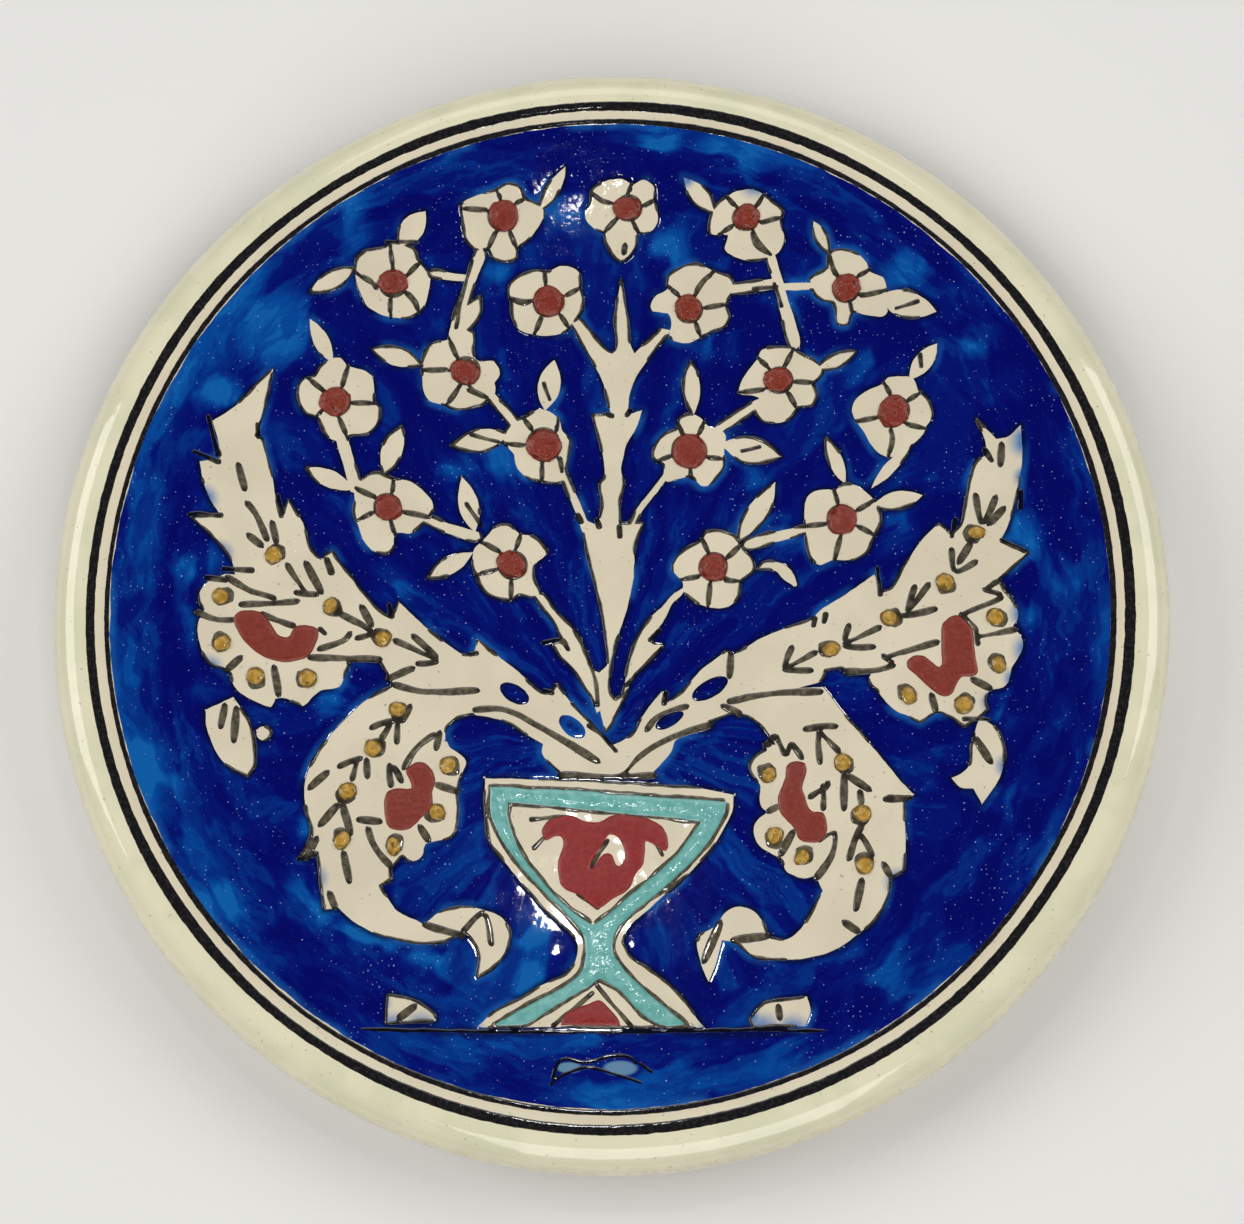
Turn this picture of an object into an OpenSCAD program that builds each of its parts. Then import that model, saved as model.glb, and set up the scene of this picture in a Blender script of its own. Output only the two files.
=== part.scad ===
// Painted ceramic plate: a thrown clay body, a white coat, and the painted layers that lie on the coat.
// The dish is part of a sphere, so every painted layer is a thin shell cut from a plan drawing.
// Origin at the middle of the foot, +Z up, +Y towards the top of the painting.

/* [Plate] */
// Diameter over the lip
plate_d = 240; // [200:10:300]
// Height from the foot to the crest of the lip
plate_h = 26; // [25:0.5:30]
// Depth of the dish below the crest
dish_depth = 10.4; // [9:0.2:11]
// Radius of the rounded lip
lip_r = 7.5; // [6.5:0.25:8]
// Thickness of the clay at the middle
floor_t = 7.4; // [6.4:0.2:8]

/* [Foot] */
// Outside diameter of the foot ring
foot_d = 136; // [120:2:150]
// Width of the foot ring
foot_w = 7; // [5:0.5:9]
// Height of bare clay at the bottom of the foot
foot_bare = 2; // [1:0.5:4]

/* [Layers] */
// Thickness of the white coat
coat_t = 0.6; // [0.4:0.1:0.8]
// Thickness of the blue ground
cobalt_t = 0.25; // [0.2:0.05:0.4]
// Thickness of the dark rings and brush lines
line_t = 0.25; // [0.2:0.05:0.4]
// Thickness of the turquoise and red areas
colour_t = 0.45; // [0.3:0.05:0.6]
// Height of the red heart of a blossom
heart_h = 0.9; // [0.6:0.1:1.2]
// Height of an ochre dot
dot_h = 0.6; // [0.4:0.1:0.8]

/* [Rings] */
// Radius of the blue field
field_r = 106.3; // [104:0.1:107]
// Width of the dark line round the blue field
field_line_w = 1.2; // [1:0.1:2]
// White gap between the two dark rings
ring_gap = 1.7; // [1:0.1:2]
// Width of the outer dark ring
rim_ring_w = 2.1; // [1:0.1:2.2]

/* [Drawing] */
// Width of a brush line
brush_w = 1.1; // [0.8:0.1:1.4]
// Radius of an ochre dot
dot_r = 1.7; // [1.3:0.1:2]
// Width of the lines between petals
petal_line_w = 0.8; // [0.6:0.1:1]

/* [Hidden] */
$fn = 96;

// The drawing below is in millimetres on a plate of this diameter, and k fits it to the plate's own
drawn_d = 240;
k = plate_d / drawn_d;
// Points of a curve from one given point to the next, degrees between the points of a lobe's outline,
// and points along a leaflet's side
curve_steps = 2;
lobe_step = 15;
leaflet_steps = 6;
motif_groups = 9;

// How far a cutter or an uncut blank runs past the finished surface
over = 1;
lip_cr = plate_d / 2 - lip_r;
lip_cz = plate_h - lip_r;
crest_off = 0.5;
crest_r = lip_cr + crest_off;
crest_z = lip_cz + sqrt(lip_r * lip_r - crest_off * crest_off);
floor_z = crest_z - dish_depth;
ball_r = (crest_r * crest_r + dish_depth * dish_depth) / (2 * dish_depth);
ball_z = floor_z + ball_r;
recess_z = floor_z - 2 * coat_t - floor_t;
foot_r = foot_d / 2;
foot_taper = 0.8;
shoulder_rise = 1.5;
shoulder_z = recess_z + shoulder_rise;
// The underside runs straight from the foot's shoulder, aimed at the lip's height this far outside it
under_run = 20;
under_r = plate_d / 2 + under_run;
field_line_r = field_r + field_line_w;
rim_ring_r = field_line_r + ring_gap + rim_ring_w;

// Blossoms: heart x and y, heart radius, points that the outline curves through,
// and the lines between the petals from the heart outwards
BLOSSOMS = [
    [[-23, 86], 3.2, [
        [-32.5, 88.2], [-32, 85.4], [-31.4, 81.4], [-29.3, 78.6], [-26.4, 78.6], [-25.4, 76.8],
        [-22.5, 75.9], [-20.1, 76.8], [-19.8, 78.8], [-17.1, 81.1], [-14.6, 84.6], [-13.9, 87.5],
        [-16.4, 89.3], [-18.2, 90], [-19.3, 92.3], [-22.1, 93.1], [-24.6, 91.8], [-28.6, 90.7],
        [-31, 89.6]
    ], [
        [[-26.4, 87.2], [-31.6, 87.6]], [[-23.6, 89.4], [-24.1, 90.8]], [[-20.6, 88.4], [-18.8, 89.6]],
        [[-21.6, 82.6], [-20.4, 79.6]], [[-24.6, 82.6], [-26.2, 79.2]]
    ]],
    [[4.5, 87.5], 3, [
        [-3, 92], [0, 93.8], [3.5, 94], [5.6, 92.6], [8, 93.8], [10.4, 92.4], [10.6, 89.8], [11, 88],
        [11.4, 85], [10.2, 82.8], [8, 82], [6.7, 82.2], [6.5, 79.5], [5, 77], [3, 75.8], [1, 77.5],
        [-0.2, 80], [-0.5, 82], [-2.4, 83], [-4.4, 85], [-4.6, 87.2], [-3.5, 89]
    ], [
        [[1.2, 88.6], [-1, 89.2], [-2.4, 90.4]], [[4.8, 90.8], [5.2, 92]], [[7.8, 88], [10.2, 89.2]],
        [[5.8, 84.4], [6.6, 82.8]], [[2.2, 85.2], [0, 82.8]]
    ]],
    [[31, 85], 2.8, [
        [22.9, 81.8], [22.9, 83.9], [23.4, 86.1], [24.6, 88.2], [26.4, 89.6], [28.6, 90.7], [32.1, 91],
        [34.6, 89.9], [37.1, 87.9], [39, 86.1], [38.6, 83.6], [39.3, 80.4], [38.6, 77.9], [36.8, 76.2],
        [34.3, 75.5], [30.7, 75.5], [27.5, 76.8], [26.2, 78.2], [27, 81.2], [24.6, 81.3]
    ], [
        [[29, 87.2], [27.2, 89.1]], [[33, 87.2], [34.2, 88.8]], [[34, 83.8], [38.2, 84.6]],
        [[32.2, 82], [33.2, 78.5], [35.8, 76.8]], [[28.2, 83.4], [26, 82]]
    ]],
    [[-47.5, 71], 3.1, [
        [-55.4, 76], [-53.2, 77.9], [-49.6, 78.6], [-47.5, 79.8], [-43.2, 78.6], [-42.2, 76.4],
        [-41.1, 75], [-39.4, 72.5], [-39.6, 69.3], [-40.7, 65.7], [-42.9, 63.6], [-46.4, 63.1],
        [-50, 63.7], [-52.9, 65.4], [-54.6, 68.6], [-55.6, 71.4]
    ], [
        [[-47.6, 74.6], [-48, 78]], [[-44.4, 72.6], [-42, 75]],
        [[-44.6, 68.8], [-42.6, 66.8], [-42, 65]], [[-48, 67.4], [-48, 64.4]],
        [[-51, 69.6], [-52.6, 71.4], [-54.4, 72.2]]
    ]],
    [[-13, 67], 3.3, [
        [-21.3, 71], [-18.6, 73], [-15.4, 73.7], [-13.2, 73.4], [-10.7, 74.8], [-8.2, 74.6],
        [-6.1, 73.1], [-5.9, 70], [-5.4, 67.1], [-5.8, 64.3], [-7.4, 62.4], [-9.3, 60.2], [-12.9, 59.3],
        [-16.4, 59.6], [-19.6, 60.9], [-21, 64.3], [-21.2, 66.4], [-21.8, 68.6]
    ], [
        [[-13.6, 70.8], [-13.8, 73]], [[-9.4, 68.2], [-6.6, 69.6]], [[-10.6, 64], [-8.8, 61.4]],
        [[-14.6, 63.4], [-15.8, 60.4]], [[-16.8, 67], [-18.6, 66.4], [-21, 67.4]]
    ]],
    [[18, 65], 3, [
        [10, 64.5], [9.8, 66.4], [11.1, 68.2], [13.4, 69.3], [13.9, 72.3], [16.4, 74.1], [20, 74.8],
        [23.6, 73.2], [27.3, 71.8], [28.1, 69.3], [27, 67.1], [26.4, 65], [27, 62.9], [25.7, 60.5],
        [22.9, 59.5], [20.4, 58.4], [18.2, 57.2], [15.4, 57.5], [13.7, 58.9], [14.3, 61.4], [13.6, 64]
    ], [
        [[16, 67.8], [14.4, 69.3]], [[19.6, 68.2], [20.7, 70.4], [23, 72.4]],
        [[21.6, 65], [25.8, 65.6]], [[19.6, 61.6], [20.4, 59.4]]
    ]],
    [[52.7, 68.5], 2.9, [
        [48.9, 76.2], [51.4, 77], [55, 76.1], [57.1, 73.9], [58, 71.8], [60.7, 70.4], [61.4, 67.9],
        [61.2, 65], [61.6, 63], [60, 61.8], [56.4, 62.5], [54, 63.2], [52.9, 60.6], [50.7, 60.8],
        [50.4, 63.6], [49.8, 65.4], [47.9, 65.8], [45.8, 67.5], [44.8, 70.4], [46.4, 71.8], [48.8, 73.2]
    ], [
        [[50.6, 71.4], [49.8, 73], [49.6, 74.6]], [[55.2, 70.8], [57.2, 72]],
        [[55.6, 66.8], [60.4, 67.4]], [[53.6, 65], [53.8, 63.8]]
    ]],
    [[-31.5, 51], 3.2, [
        [-41, 50.7], [-40.7, 54.3], [-39.2, 57.1], [-36.4, 57.9], [-34.6, 58.6], [-32.1, 60.3],
        [-29.5, 59.8], [-29.7, 56.4], [-29.2, 54.2], [-27.9, 53.4], [-25.2, 53.5], [-23.8, 50.7],
        [-25, 48.6], [-24.8, 46.4], [-27.9, 43.7], [-32.9, 42.6], [-35.7, 43.6], [-39.1, 44.4],
        [-40.6, 47.1]
    ], [
        [[-36.2, 51.6], [-40.4, 51.4]], [[-33.2, 54.2], [-34.8, 57.8]], [[-30.8, 47.2], [-27, 45.4]],
        [[-33, 47.2], [-35, 44.2]]
    ]],
    [[-60, 44], 3.1, [
        [-68, 46.1], [-66.8, 48.8], [-64.4, 49.7], [-63.4, 51.6], [-61.4, 53.2], [-58.9, 53.7],
        [-57.4, 52.1], [-54.3, 51.4], [-51.9, 50], [-51.4, 46.4], [-51.6, 44.4], [-50.3, 42.9],
        [-50.7, 39.3], [-52.9, 37], [-56.2, 36.6], [-59.6, 35.2], [-62.1, 36.8], [-63.6, 40.2],
        [-66.1, 41.3], [-67.5, 43.2]
    ], [
        [[-62.8, 46.8], [-65.2, 48.6]], [[-58.4, 47.6], [-57.4, 51.2]], [[-56, 43.8], [-52.2, 43.8]],
        [[-59, 40.2], [-57.6, 37]], [[-62.6, 42], [-63.4, 41.2]]
    ]],
    [[37.5, 48.5], 3, [
        [33.2, 53.4], [34, 55.2], [37.1, 55.8], [40.7, 55.6], [42.3, 54.4], [45, 52.9], [47.4, 50.7],
        [46.4, 48.6], [45.2, 47.4], [45.8, 45], [44.8, 42.7], [42, 42.2], [40.4, 40.4], [37.9, 39],
        [34.3, 39.4], [32.6, 41.8], [33.4, 44.6], [30.7, 45.4], [28.9, 45.8], [29.7, 48.6], [31.6, 51.3]
    ], [
        [[35.4, 51.4], [33.8, 53]], [[39.2, 51.6], [40.6, 54.4]], [[41, 48], [44.8, 47.8]],
        [[39.6, 45.6], [41.2, 42.8]], [[34.4, 46.4], [30, 46]]
    ]],
    [[62.5, 40.7], 3.2, [
        [53.5, 41.1], [54.4, 43.6], [57.1, 45.6], [60, 46.7], [61.3, 48.1], [64.3, 48.4], [66.8, 47.8],
        [67.9, 45.3], [70, 42.9], [70.8, 39.3], [69.4, 37.1], [68.5, 35.4], [65.7, 32.6], [62.9, 30.6],
        [60, 31.2], [57.9, 33.2], [56.1, 36.4], [54.4, 38.9]
    ], [
        [[61.8, 44.4], [60.8, 46.4]], [[65.4, 42.8], [67.7, 44.2]], [[65, 38], [68.4, 36.8]],
        [[61.8, 37], [62.2, 34.3], [61.4, 31.6]], [[58.8, 39.4], [55, 38.8]]
    ]],
    [[-14, 34.5], 3.7, [
        [-23, 35.7], [-22.4, 37.9], [-20.4, 39.9], [-17.9, 41.1], [-15, 42.7], [-12.1, 41.8],
        [-10.4, 40], [-9.9, 37.9], [-8.3, 35.7], [-8.7, 32.1], [-9.3, 29.4], [-8.8, 27.2],
        [-11.4, 26.2], [-14.3, 26.5], [-17.9, 27.5], [-20, 29.6], [-20.5, 32.5], [-22.1, 34.4]
    ], [
        [[-16.6, 38], [-18.2, 40.2]], [[-10.6, 31.8], [-10.1, 29.2]], [[-14.4, 30], [-14.4, 27]],
        [[-18.4, 34.6], [-21.4, 34.9]], [[-11.4, 37.8], [-11.1, 38.9]]
    ]],
    [[18, 33], 3.6, [
        [10.1, 32.9], [11.2, 35.4], [13.2, 37.1], [15.2, 38], [15.8, 40.2], [18.2, 41.3], [20.6, 40.3],
        [22.2, 38.5], [24.6, 37.8], [26, 36.2], [25.6, 32.9], [25.4, 29.3], [22.9, 25.9], [20.7, 25.2],
        [18.2, 27.2], [13.2, 26.2], [12.2, 27.5], [12.4, 29.9], [10.5, 31.2]
    ], [
        [[16.6, 36.8], [15.8, 38.4]], [[20, 36.6], [21, 38.6]], [[21.8, 31.6], [24.8, 31.2]],
        [[18.2, 28.8], [18.3, 27.6]], [[14.2, 32], [12, 31.2]]
    ]],
    [[-48, 20.5], 2.9, [
        [-55.3, 24.6], [-53.6, 27], [-50.4, 28.3], [-47, 27], [-43.6, 26.4], [-40.5, 24.3],
        [-38.3, 21.4], [-38.7, 19.3], [-40.4, 17.1], [-43.2, 14.8], [-46.3, 15], [-46.8, 11.6],
        [-48.3, 10.2], [-51.1, 10.9], [-53.2, 13.3], [-54.6, 16.8], [-55.5, 19.3], [-55.3, 22.1]
    ], [
        [[-50.6, 22.6], [-54.8, 24.6]], [[-47.2, 24], [-47, 26]], [[-44.6, 19.6], [-39.4, 18.4]],
        [[-47.2, 16.8], [-46.6, 15.2]], [[-51.2, 19.4], [-53.8, 18]]
    ]],
    [[-21, 8], 3.2, [
        [-29.5, 8.2], [-29.2, 11.3], [-27.5, 12.9], [-26.1, 14.6], [-24.3, 16.5], [-21.4, 16.7],
        [-19.2, 14.8], [-16.4, 14.2], [-13.4, 11.1], [-14.4, 9.3], [-16.2, 7.6], [-16, 4.6],
        [-14.6, 1.6], [-16.4, 0.8], [-19.2, 1.3], [-21.1, 0.1], [-24.6, 0.8], [-27.1, 2.6], [-28.6, 5.4]
    ], [
        [[-23.6, 10.8], [-26.8, 12.6]], [[-20, 11.8], [-19.2, 14.2]],
        [[-20.9, 4.2], [-21.1, 0.8]], [[-24.8, 6.6], [-27.6, 5.9]]
    ]],
    [[51, 17], 3.1, [
        [42.8, 19.3], [43.3, 21.8], [45, 23.5], [47.9, 23.9], [49.6, 23.6], [51.4, 24.8], [54.3, 24.5],
        [56.4, 22.8], [58.1, 20.7], [59.2, 17.9], [58.8, 15], [57.1, 12.1], [56, 9.7], [52.9, 8.3],
        [48.9, 8.3], [46.1, 7.3], [44, 8.9], [43.3, 11.8], [42.8, 15.4]
    ], [
        [[50.2, 20.6], [49.7, 22.6]], [[54.2, 19], [57, 20.6]], [[54.4, 15.6], [57, 14]],
        [[50.6, 13.4], [49.4, 9]], [[47.4, 16.2], [43.2, 15.8]]
    ]],
    [[23, 7], 3, [
        [14.2, 6.4], [14.7, 8.9], [17.1, 11.3], [20.3, 12.9], [21.5, 14.8], [24.6, 15.2], [27.8, 13.8],
        [29.3, 11.4], [31.3, 8.6], [31.3, 6.1], [29, 4.2], [28.5, 0.7], [26.4, -1.6], [22.1, -1.9],
        [18.9, -0.3], [16.5, 1.9], [16.3, 3.8]
    ], [
        [[22, 10.6], [20.9, 13]], [[25.6, 8.8], [28.6, 11.6]], [[25.4, 4.2], [27.9, 4]],
        [[22.2, 3.4], [21.8, -1.2]], [[19.6, 5], [16.8, 4.6]]
    ]]
];

// Leaflets: base, tip and half width
LEAFLETS = [
    [[-46, 79], [-40.5, 87], 2.6], [[-56, 74], [-65.5, 68.3], 1.9], [[-60.5, 52.5], [-65.5, 62.3], 1.7],
    [[-41, 52.5], [-52, 56], 2], [[-33, 59], [-28.2, 68], 1.9], [[-49, 28], [-45.5, 38.8], 2.3],
    [[-55.5, 24.5], [-66, 29], 1.9], [[-13.8, 42.5], [-11.8, 53.8], 2.5],
    [[-21.5, 37], [-34.3, 34.5], 2.4], [[-29, 15], [-32, 27.5], 2.1], [[-29.5, 10.5], [-39.2, 5], 1.8],
    [[18.8, 41], [18.4, 53], 1.8], [[25, 34.5], [38, 31.3], 2.8], [[46, 50.5], [54.5, 54.2], 1.5],
    [[59.5, 66.5], [72, 62.3], 2.9], [[49, 76.5], [45.8, 83.5], 1.2], [[66, 47.5], [72.2, 55.3], 1.9],
    [[66, 33], [57.3, 23.8], 1.2], [[51.8, 25], [47.8, 35.2], 1.5], [[57.5, 20], [68.3, 22], 1.9],
    [[28.5, 12.5], [36.8, 25.5], 2.2], [[24, 86], [17.3, 94], 1.9],
    [[-15, 87], [-9, 97], 1.4]
];

// Twigs between the blossoms: width, then the points they pass
TWIGS = [
    [2.1, [[-28, 78], [-31, 70], [-34, 59]]], [1.4, [[-31, 72], [-39, 73]]],
    [2, [[36, 77], [38.5, 68], [41.5, 56]]], [2.4, [[26, 69], [37.5, 70]]],
    [1.5, [[39, 69.3], [47, 69]]], [2, [[-26.5, 46.5], [-20.5, 39.5]]],
    [1.7, [[33.5, 43.5], [24.5, 37.5]]], [2.4, [[-58.5, 36], [-55, 24.5]]],
    [2, [[-41.5, 18.5], [-28.5, 14]]], [1.8, [[44, 15.5], [30, 11.8]]],
    [1.3, [[13, 28], [7, 20], [4.5, 15]]], [1.6, [[-10, 29], [-7, 21.5], [-4.5, 15]]]
];

// Middle stem from its tip down the left side and up the right, with its side shoots and knots
TRUNK = [
    [3, 71.5], [1.8, 62], [2.2, 57], [1.2, 55], [-0.8, 56.5], [-6, 63], [-8, 62], [-4, 54.5],
    [-1, 48.5], [0.8, 41.5], [-3.2, 41.2], [-2, 36.5], [-0.8, 31], [-0.6, 27.5], [-1.6, 26], [-1.2, 21],
    [-2.2, 16.6], [-4.5, 17.5], [-7.2, 22], [-5.5, 16.5], [-4, 9], [-2.5, 3], [-1.5, -2], [-0.6, -8],
    [0, -14], [-1.6, -15.8], [-2.2, -20], [-1.4, -25.6], [-0.6, -28.8], [0.9, -27], [2.4, -23.2],
    [1.5, -21.6], [0.4, -20.4], [0.1, -18.6], [0.5, -16.4], [1, -12.8], [1.8, -9.2], [2.8, -6.2],
    [4.2, -1.6], [5.3, 3], [5.9, 8], [6.1, 12], [7.8, 17], [2.6, 17], [2.6, 22], [3.6, 26], [3, 29],
    [4, 34], [6.5, 39], [7.6, 42.3], [4.2, 41.2], [5.5, 48], [8.5, 53], [14, 60], [12, 60.5], [6, 55],
    [4.8, 58], [4.6, 62]
];

// Two side stems with thorns
LEFT_STEM = [
    [-16.5, 2], [-13.8, 1.2], [-10.9, -2.8], [-8.3, -5.3], [-6.3, -7.8], [-5.1, -10.5], [-4.2, -13.6],
    [-3, -15.4], [-1.4, -16], [-1.4, -24], [-2.4, -24.6], [-3.4, -21.5], [-5, -19.2], [-8, -14.4],
    [-10.2, -12.4], [-12, -9.7], [-9.9, -8.5], [-11.8, -4.6], [-13.9, -1.9]
];
RIGHT_STEM = [
    [17.5, 3.5], [15.6, 2], [14.4, 1.2], [12.2, -1.4], [9.4, -3.7], [7.3, -6.6], [6.1, -9.2],
    [4.8, -12.8], [4.1, -16], [3.6, -18.7], [3, -21], [1.4, -21.8], [1.2, -26.2], [1.9, -25],
    [4.1, -20], [5.2, -17.6], [6.8, -15.5], [9.1, -13.3], [12, -10], [10, -9.6], [9.2, -8.6],
    [12.5, -4], [14.1, -1], [16, 1]
];

// Saz leaves with toothed edges, each drawn from its tip along the outer edge to the foot of the bunch
UPPER_LEFT_LEAF = [
    [-73.4, 51], [-78, 46.3], [-82, 42], [-86.3, 39], [-85, 34.5], [-84.3, 30.8], [-88.7, 30],
    [-87.5, 25], [-85.5, 20.5], [-84, 18.5], [-89.8, 17.4], [-85.5, 13.5], [-81.5, 8.5], [-80, 4],
    [-66, -12], [-56, -13.7], [-52, -12.8], [-49, -13.5], [-47.3, -16.5], [-46, -18.8], [-34, -22],
    [-28.5, -25], [-22, -26.5], [-17, -29.5], [-13.8, -31.3], [-14, -33.2], [-10, -37.8], [0, -37.8],
    [0.5, -32], [-1.8, -29.2], [-3.6, -26.9], [-6.4, -24.2], [-8.6, -21.5], [-10.7, -18.4],
    [-12.4, -20.4], [-14, -20.4], [-16.4, -18.6], [-20, -15], [-24, -12], [-28, -8.8], [-29, -11.8],
    [-31, -12], [-35, -9.5], [-40, -5.5], [-45.4, -0.5], [-47, -4], [-50, -2], [-53, 1.5], [-57, 6.5],
    [-60, 10.6], [-62.5, 8.5], [-64.6, 11], [-66.5, 17], [-69.6, 21.8], [-70.8, 18.5], [-72.2, 21.5],
    [-73, 26], [-74.6, 32], [-75.6, 35.2], [-77, 36], [-76, 39], [-75, 43.5]
];
UPPER_RIGHT_LEAF = [
    [80, 38.3], [84, 33.6], [86.6, 34], [89.4, 36.4], [89.4, 30], [88.6, 24], [87.3, 19], [85.8, 14.5],
    [84.2, 11.3], [90, 8.6], [86, 5], [82.5, 2], [80, -6], [60, -16], [54, -16.6], [50, -15.4],
    [46.6, -15.8], [45.6, -18], [34, -22], [27, -24.6], [22.5, -26.5], [16, -29.5], [14.3, -31],
    [13.4, -33.2], [9.4, -38], [0, -37.8], [0.5, -32], [4.1, -30.1], [6, -28.5], [7, -26.4],
    [9.2, -23.2], [11.6, -20], [12.4, -22.8], [16, -20], [20, -15.7], [25.6, -11.4], [26.8, -12.4],
    [33, -8.8], [38, -6.8], [44, -4.6], [46.6, -2.4], [52, 1], [57.6, 4.8], [58.8, 0.8], [61, 1.6],
    [64, 6.6], [68, 12], [71.5, 15.5], [74, 13.3], [76, 15], [77.2, 19], [78.6, 24], [80, 29],
    [82.3, 30.2], [81.4, 34.5]
];
LOWER_LEFT_LEAF = [
    [-28, -19], [-46, -18.6], [-51, -21.5], [-55, -25], [-59, -29.5], [-62, -34.5], [-64, -39.5],
    [-63.5, -46], [-62, -50.5], [-64.4, -55.6], [-60.6, -55], [-59.8, -61], [-58.8, -66.5], [-56, -66],
    [-52, -69.4], [-46, -72], [-40, -73], [-34, -73], [-29.5, -71.2], [-27.5, -73.4], [-26.5, -76],
    [-26.8, -80.2], [-23.8, -78.4], [-21, -75], [-20.3, -71.4], [-22, -68], [-26, -66.4], [-31, -65.8],
    [-35, -67], [-38.3, -69.4], [-44, -66.4], [-47.6, -61.4], [-45.2, -60.2], [-46, -56.5], [-44, -48],
    [-37, -31.5], [-34.6, -30.6], [-34.4, -28], [-32, -25.6], [-28, -24.8]
];
LOWER_RIGHT_LEAF = [
    [27, -20], [46, -19.6], [49.4, -24], [52, -27.5], [55, -31], [58, -35], [61.6, -39.6],
    [64.2, -42.6], [62, -43.8], [62.2, -48], [62.2, -54], [61.6, -58.6], [58.8, -60.2], [58, -64],
    [55, -69], [52, -71.3], [48, -74], [43, -76], [36, -76.6], [30, -76], [26.6, -73.2], [23.8, -72.6],
    [22.6, -77], [21, -81], [19.5, -77.5], [18.7, -73.4], [19.2, -71.5], [22.6, -69.8], [24.4, -67.4],
    [27, -66], [30, -66.5], [32.4, -69], [33.4, -72], [37, -72.5], [40, -70.4], [43, -66], [45, -62.6],
    [43.4, -59.2], [43, -46], [37, -33.5], [35, -31], [32.6, -27.4], [29.4, -25.4], [25, -24.6]
];

// Half rosettes on the leaves: points that the outline curves through
ROSETTES = [
    [
        [-80, 5], [-84, 4.4], [-86.4, 3.2], [-87.8, 1], [-87.6, -1.4], [-86.6, -3.2], [-87.6, -5.2],
        [-87.7, -8.4], [-86.8, -11.6], [-85, -14.2], [-82, -15.4], [-80.5, -16.6], [-79.9, -18.8],
        [-78.4, -20.6], [-75.6, -22.2], [-71.8, -23.6], [-71, -21.8], [-68.6, -21.8], [-65.3, -23.3],
        [-63.6, -21.6], [-61.4, -20], [-57.6, -19.2], [-56.6, -16.2], [-56, -12.8], [-62, -8], [-70, 0]
    ],
    [
        [82, 3.6], [84.6, 1], [86.3, -1.8], [87.3, -4.2], [86.9, -6.2], [86.1, -7.6], [87.4, -9.2],
        [88, -11.6], [86.9, -14], [85.6, -16], [85, -18.6], [83.6, -20.3], [80.8, -20.9], [79.6, -23],
        [80, -25], [78.4, -26.4], [75.4, -28.4], [73.4, -27], [70.6, -25.4], [68.4, -26], [66.1, -27.3],
        [64, -25.9], [61.4, -24.8], [59.2, -22.8], [57.6, -20.4], [56, -17.8], [60, -12], [72, -4]
    ],
    [
        [-36, -30.6], [-33.6, -32.2], [-31.2, -33.9], [-30.2, -35.5], [-31, -37.6], [-32.1, -41.4],
        [-31.8, -45.4], [-32.1, -49.8], [-33.8, -51.6], [-38.2, -52.6], [-38.7, -54.6], [-39.7, -55.9],
        [-41.6, -56.3], [-43.2, -55.3], [-44.4, -56.4], [-46, -57.4], [-50, -50], [-48, -36]
    ],
    [
        [34, -31], [33.6, -32.8], [31.6, -34.2], [30.4, -36.2], [31, -38.4], [32.5, -40.6],
        [32.2, -43.4], [32.7, -45.2], [33.8, -46.2], [32.2, -47.3], [31, -49], [31.2, -51.6],
        [32.6, -53.6], [35.4, -55.2], [36.8, -56.4], [37.3, -58], [38.9, -59.2], [43.4, -59.4],
        [46, -50], [42, -36]
    ]
];

// Hanging buds below the upper rosettes, half flowers on the ground line and a crescent leaf
BUDS = [
    [[-79.6, -21.6], [-85.6, -24.5], [-85, -28.5], [-83, -33], [-80, -36.6], [-76, -38.4], [-74.8, -36.4],
        [-75.4, -30], [-76.8, -26]],
    [[78.6, -26.6], [81.8, -29], [83, -33], [82.5, -38], [80.3, -42], [78.2, -45], [76.6, -41.6],
        [73.8, -41.2], [72.2, -39.2], [74.6, -38], [76.2, -36], [76.6, -32.6], [77.6, -29.5]],
    [[-45, -83.8], [-41, -84.4], [-35.6, -87.4], [-35, -88.8], [-45, -89.2]],
    [[29.4, -88.4], [32, -85.5], [36, -84.8], [41, -84], [41.6, -87], [40.4, -89.8], [30, -90]],
    [[32.4, 6.4], [33.4, 7.8], [35, 8.3], [36.8, 8.1], [38.4, 7.5], [39.8, 6.2], [40.8, 4.2],
        [41, 2.8], [40.4, 2.6], [38, 4.6], [36.6, 6], [34.6, 6.4]]
];
BUD_DOT = [[-73.2, -29.3], 1.5];

// Small blue ovals on the stems: middle, half length, half width and turn
STEM_OVALS = [
    [[-20, -20.5], 3.5, 1.9, -33], [[-7.6, -27.7], 3.4, 1.9, -41], [[22, -19.5], 4.3, 1.9, 28],
    [[13.3, -26.4], 3.4, 1.4, 31]
];

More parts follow.
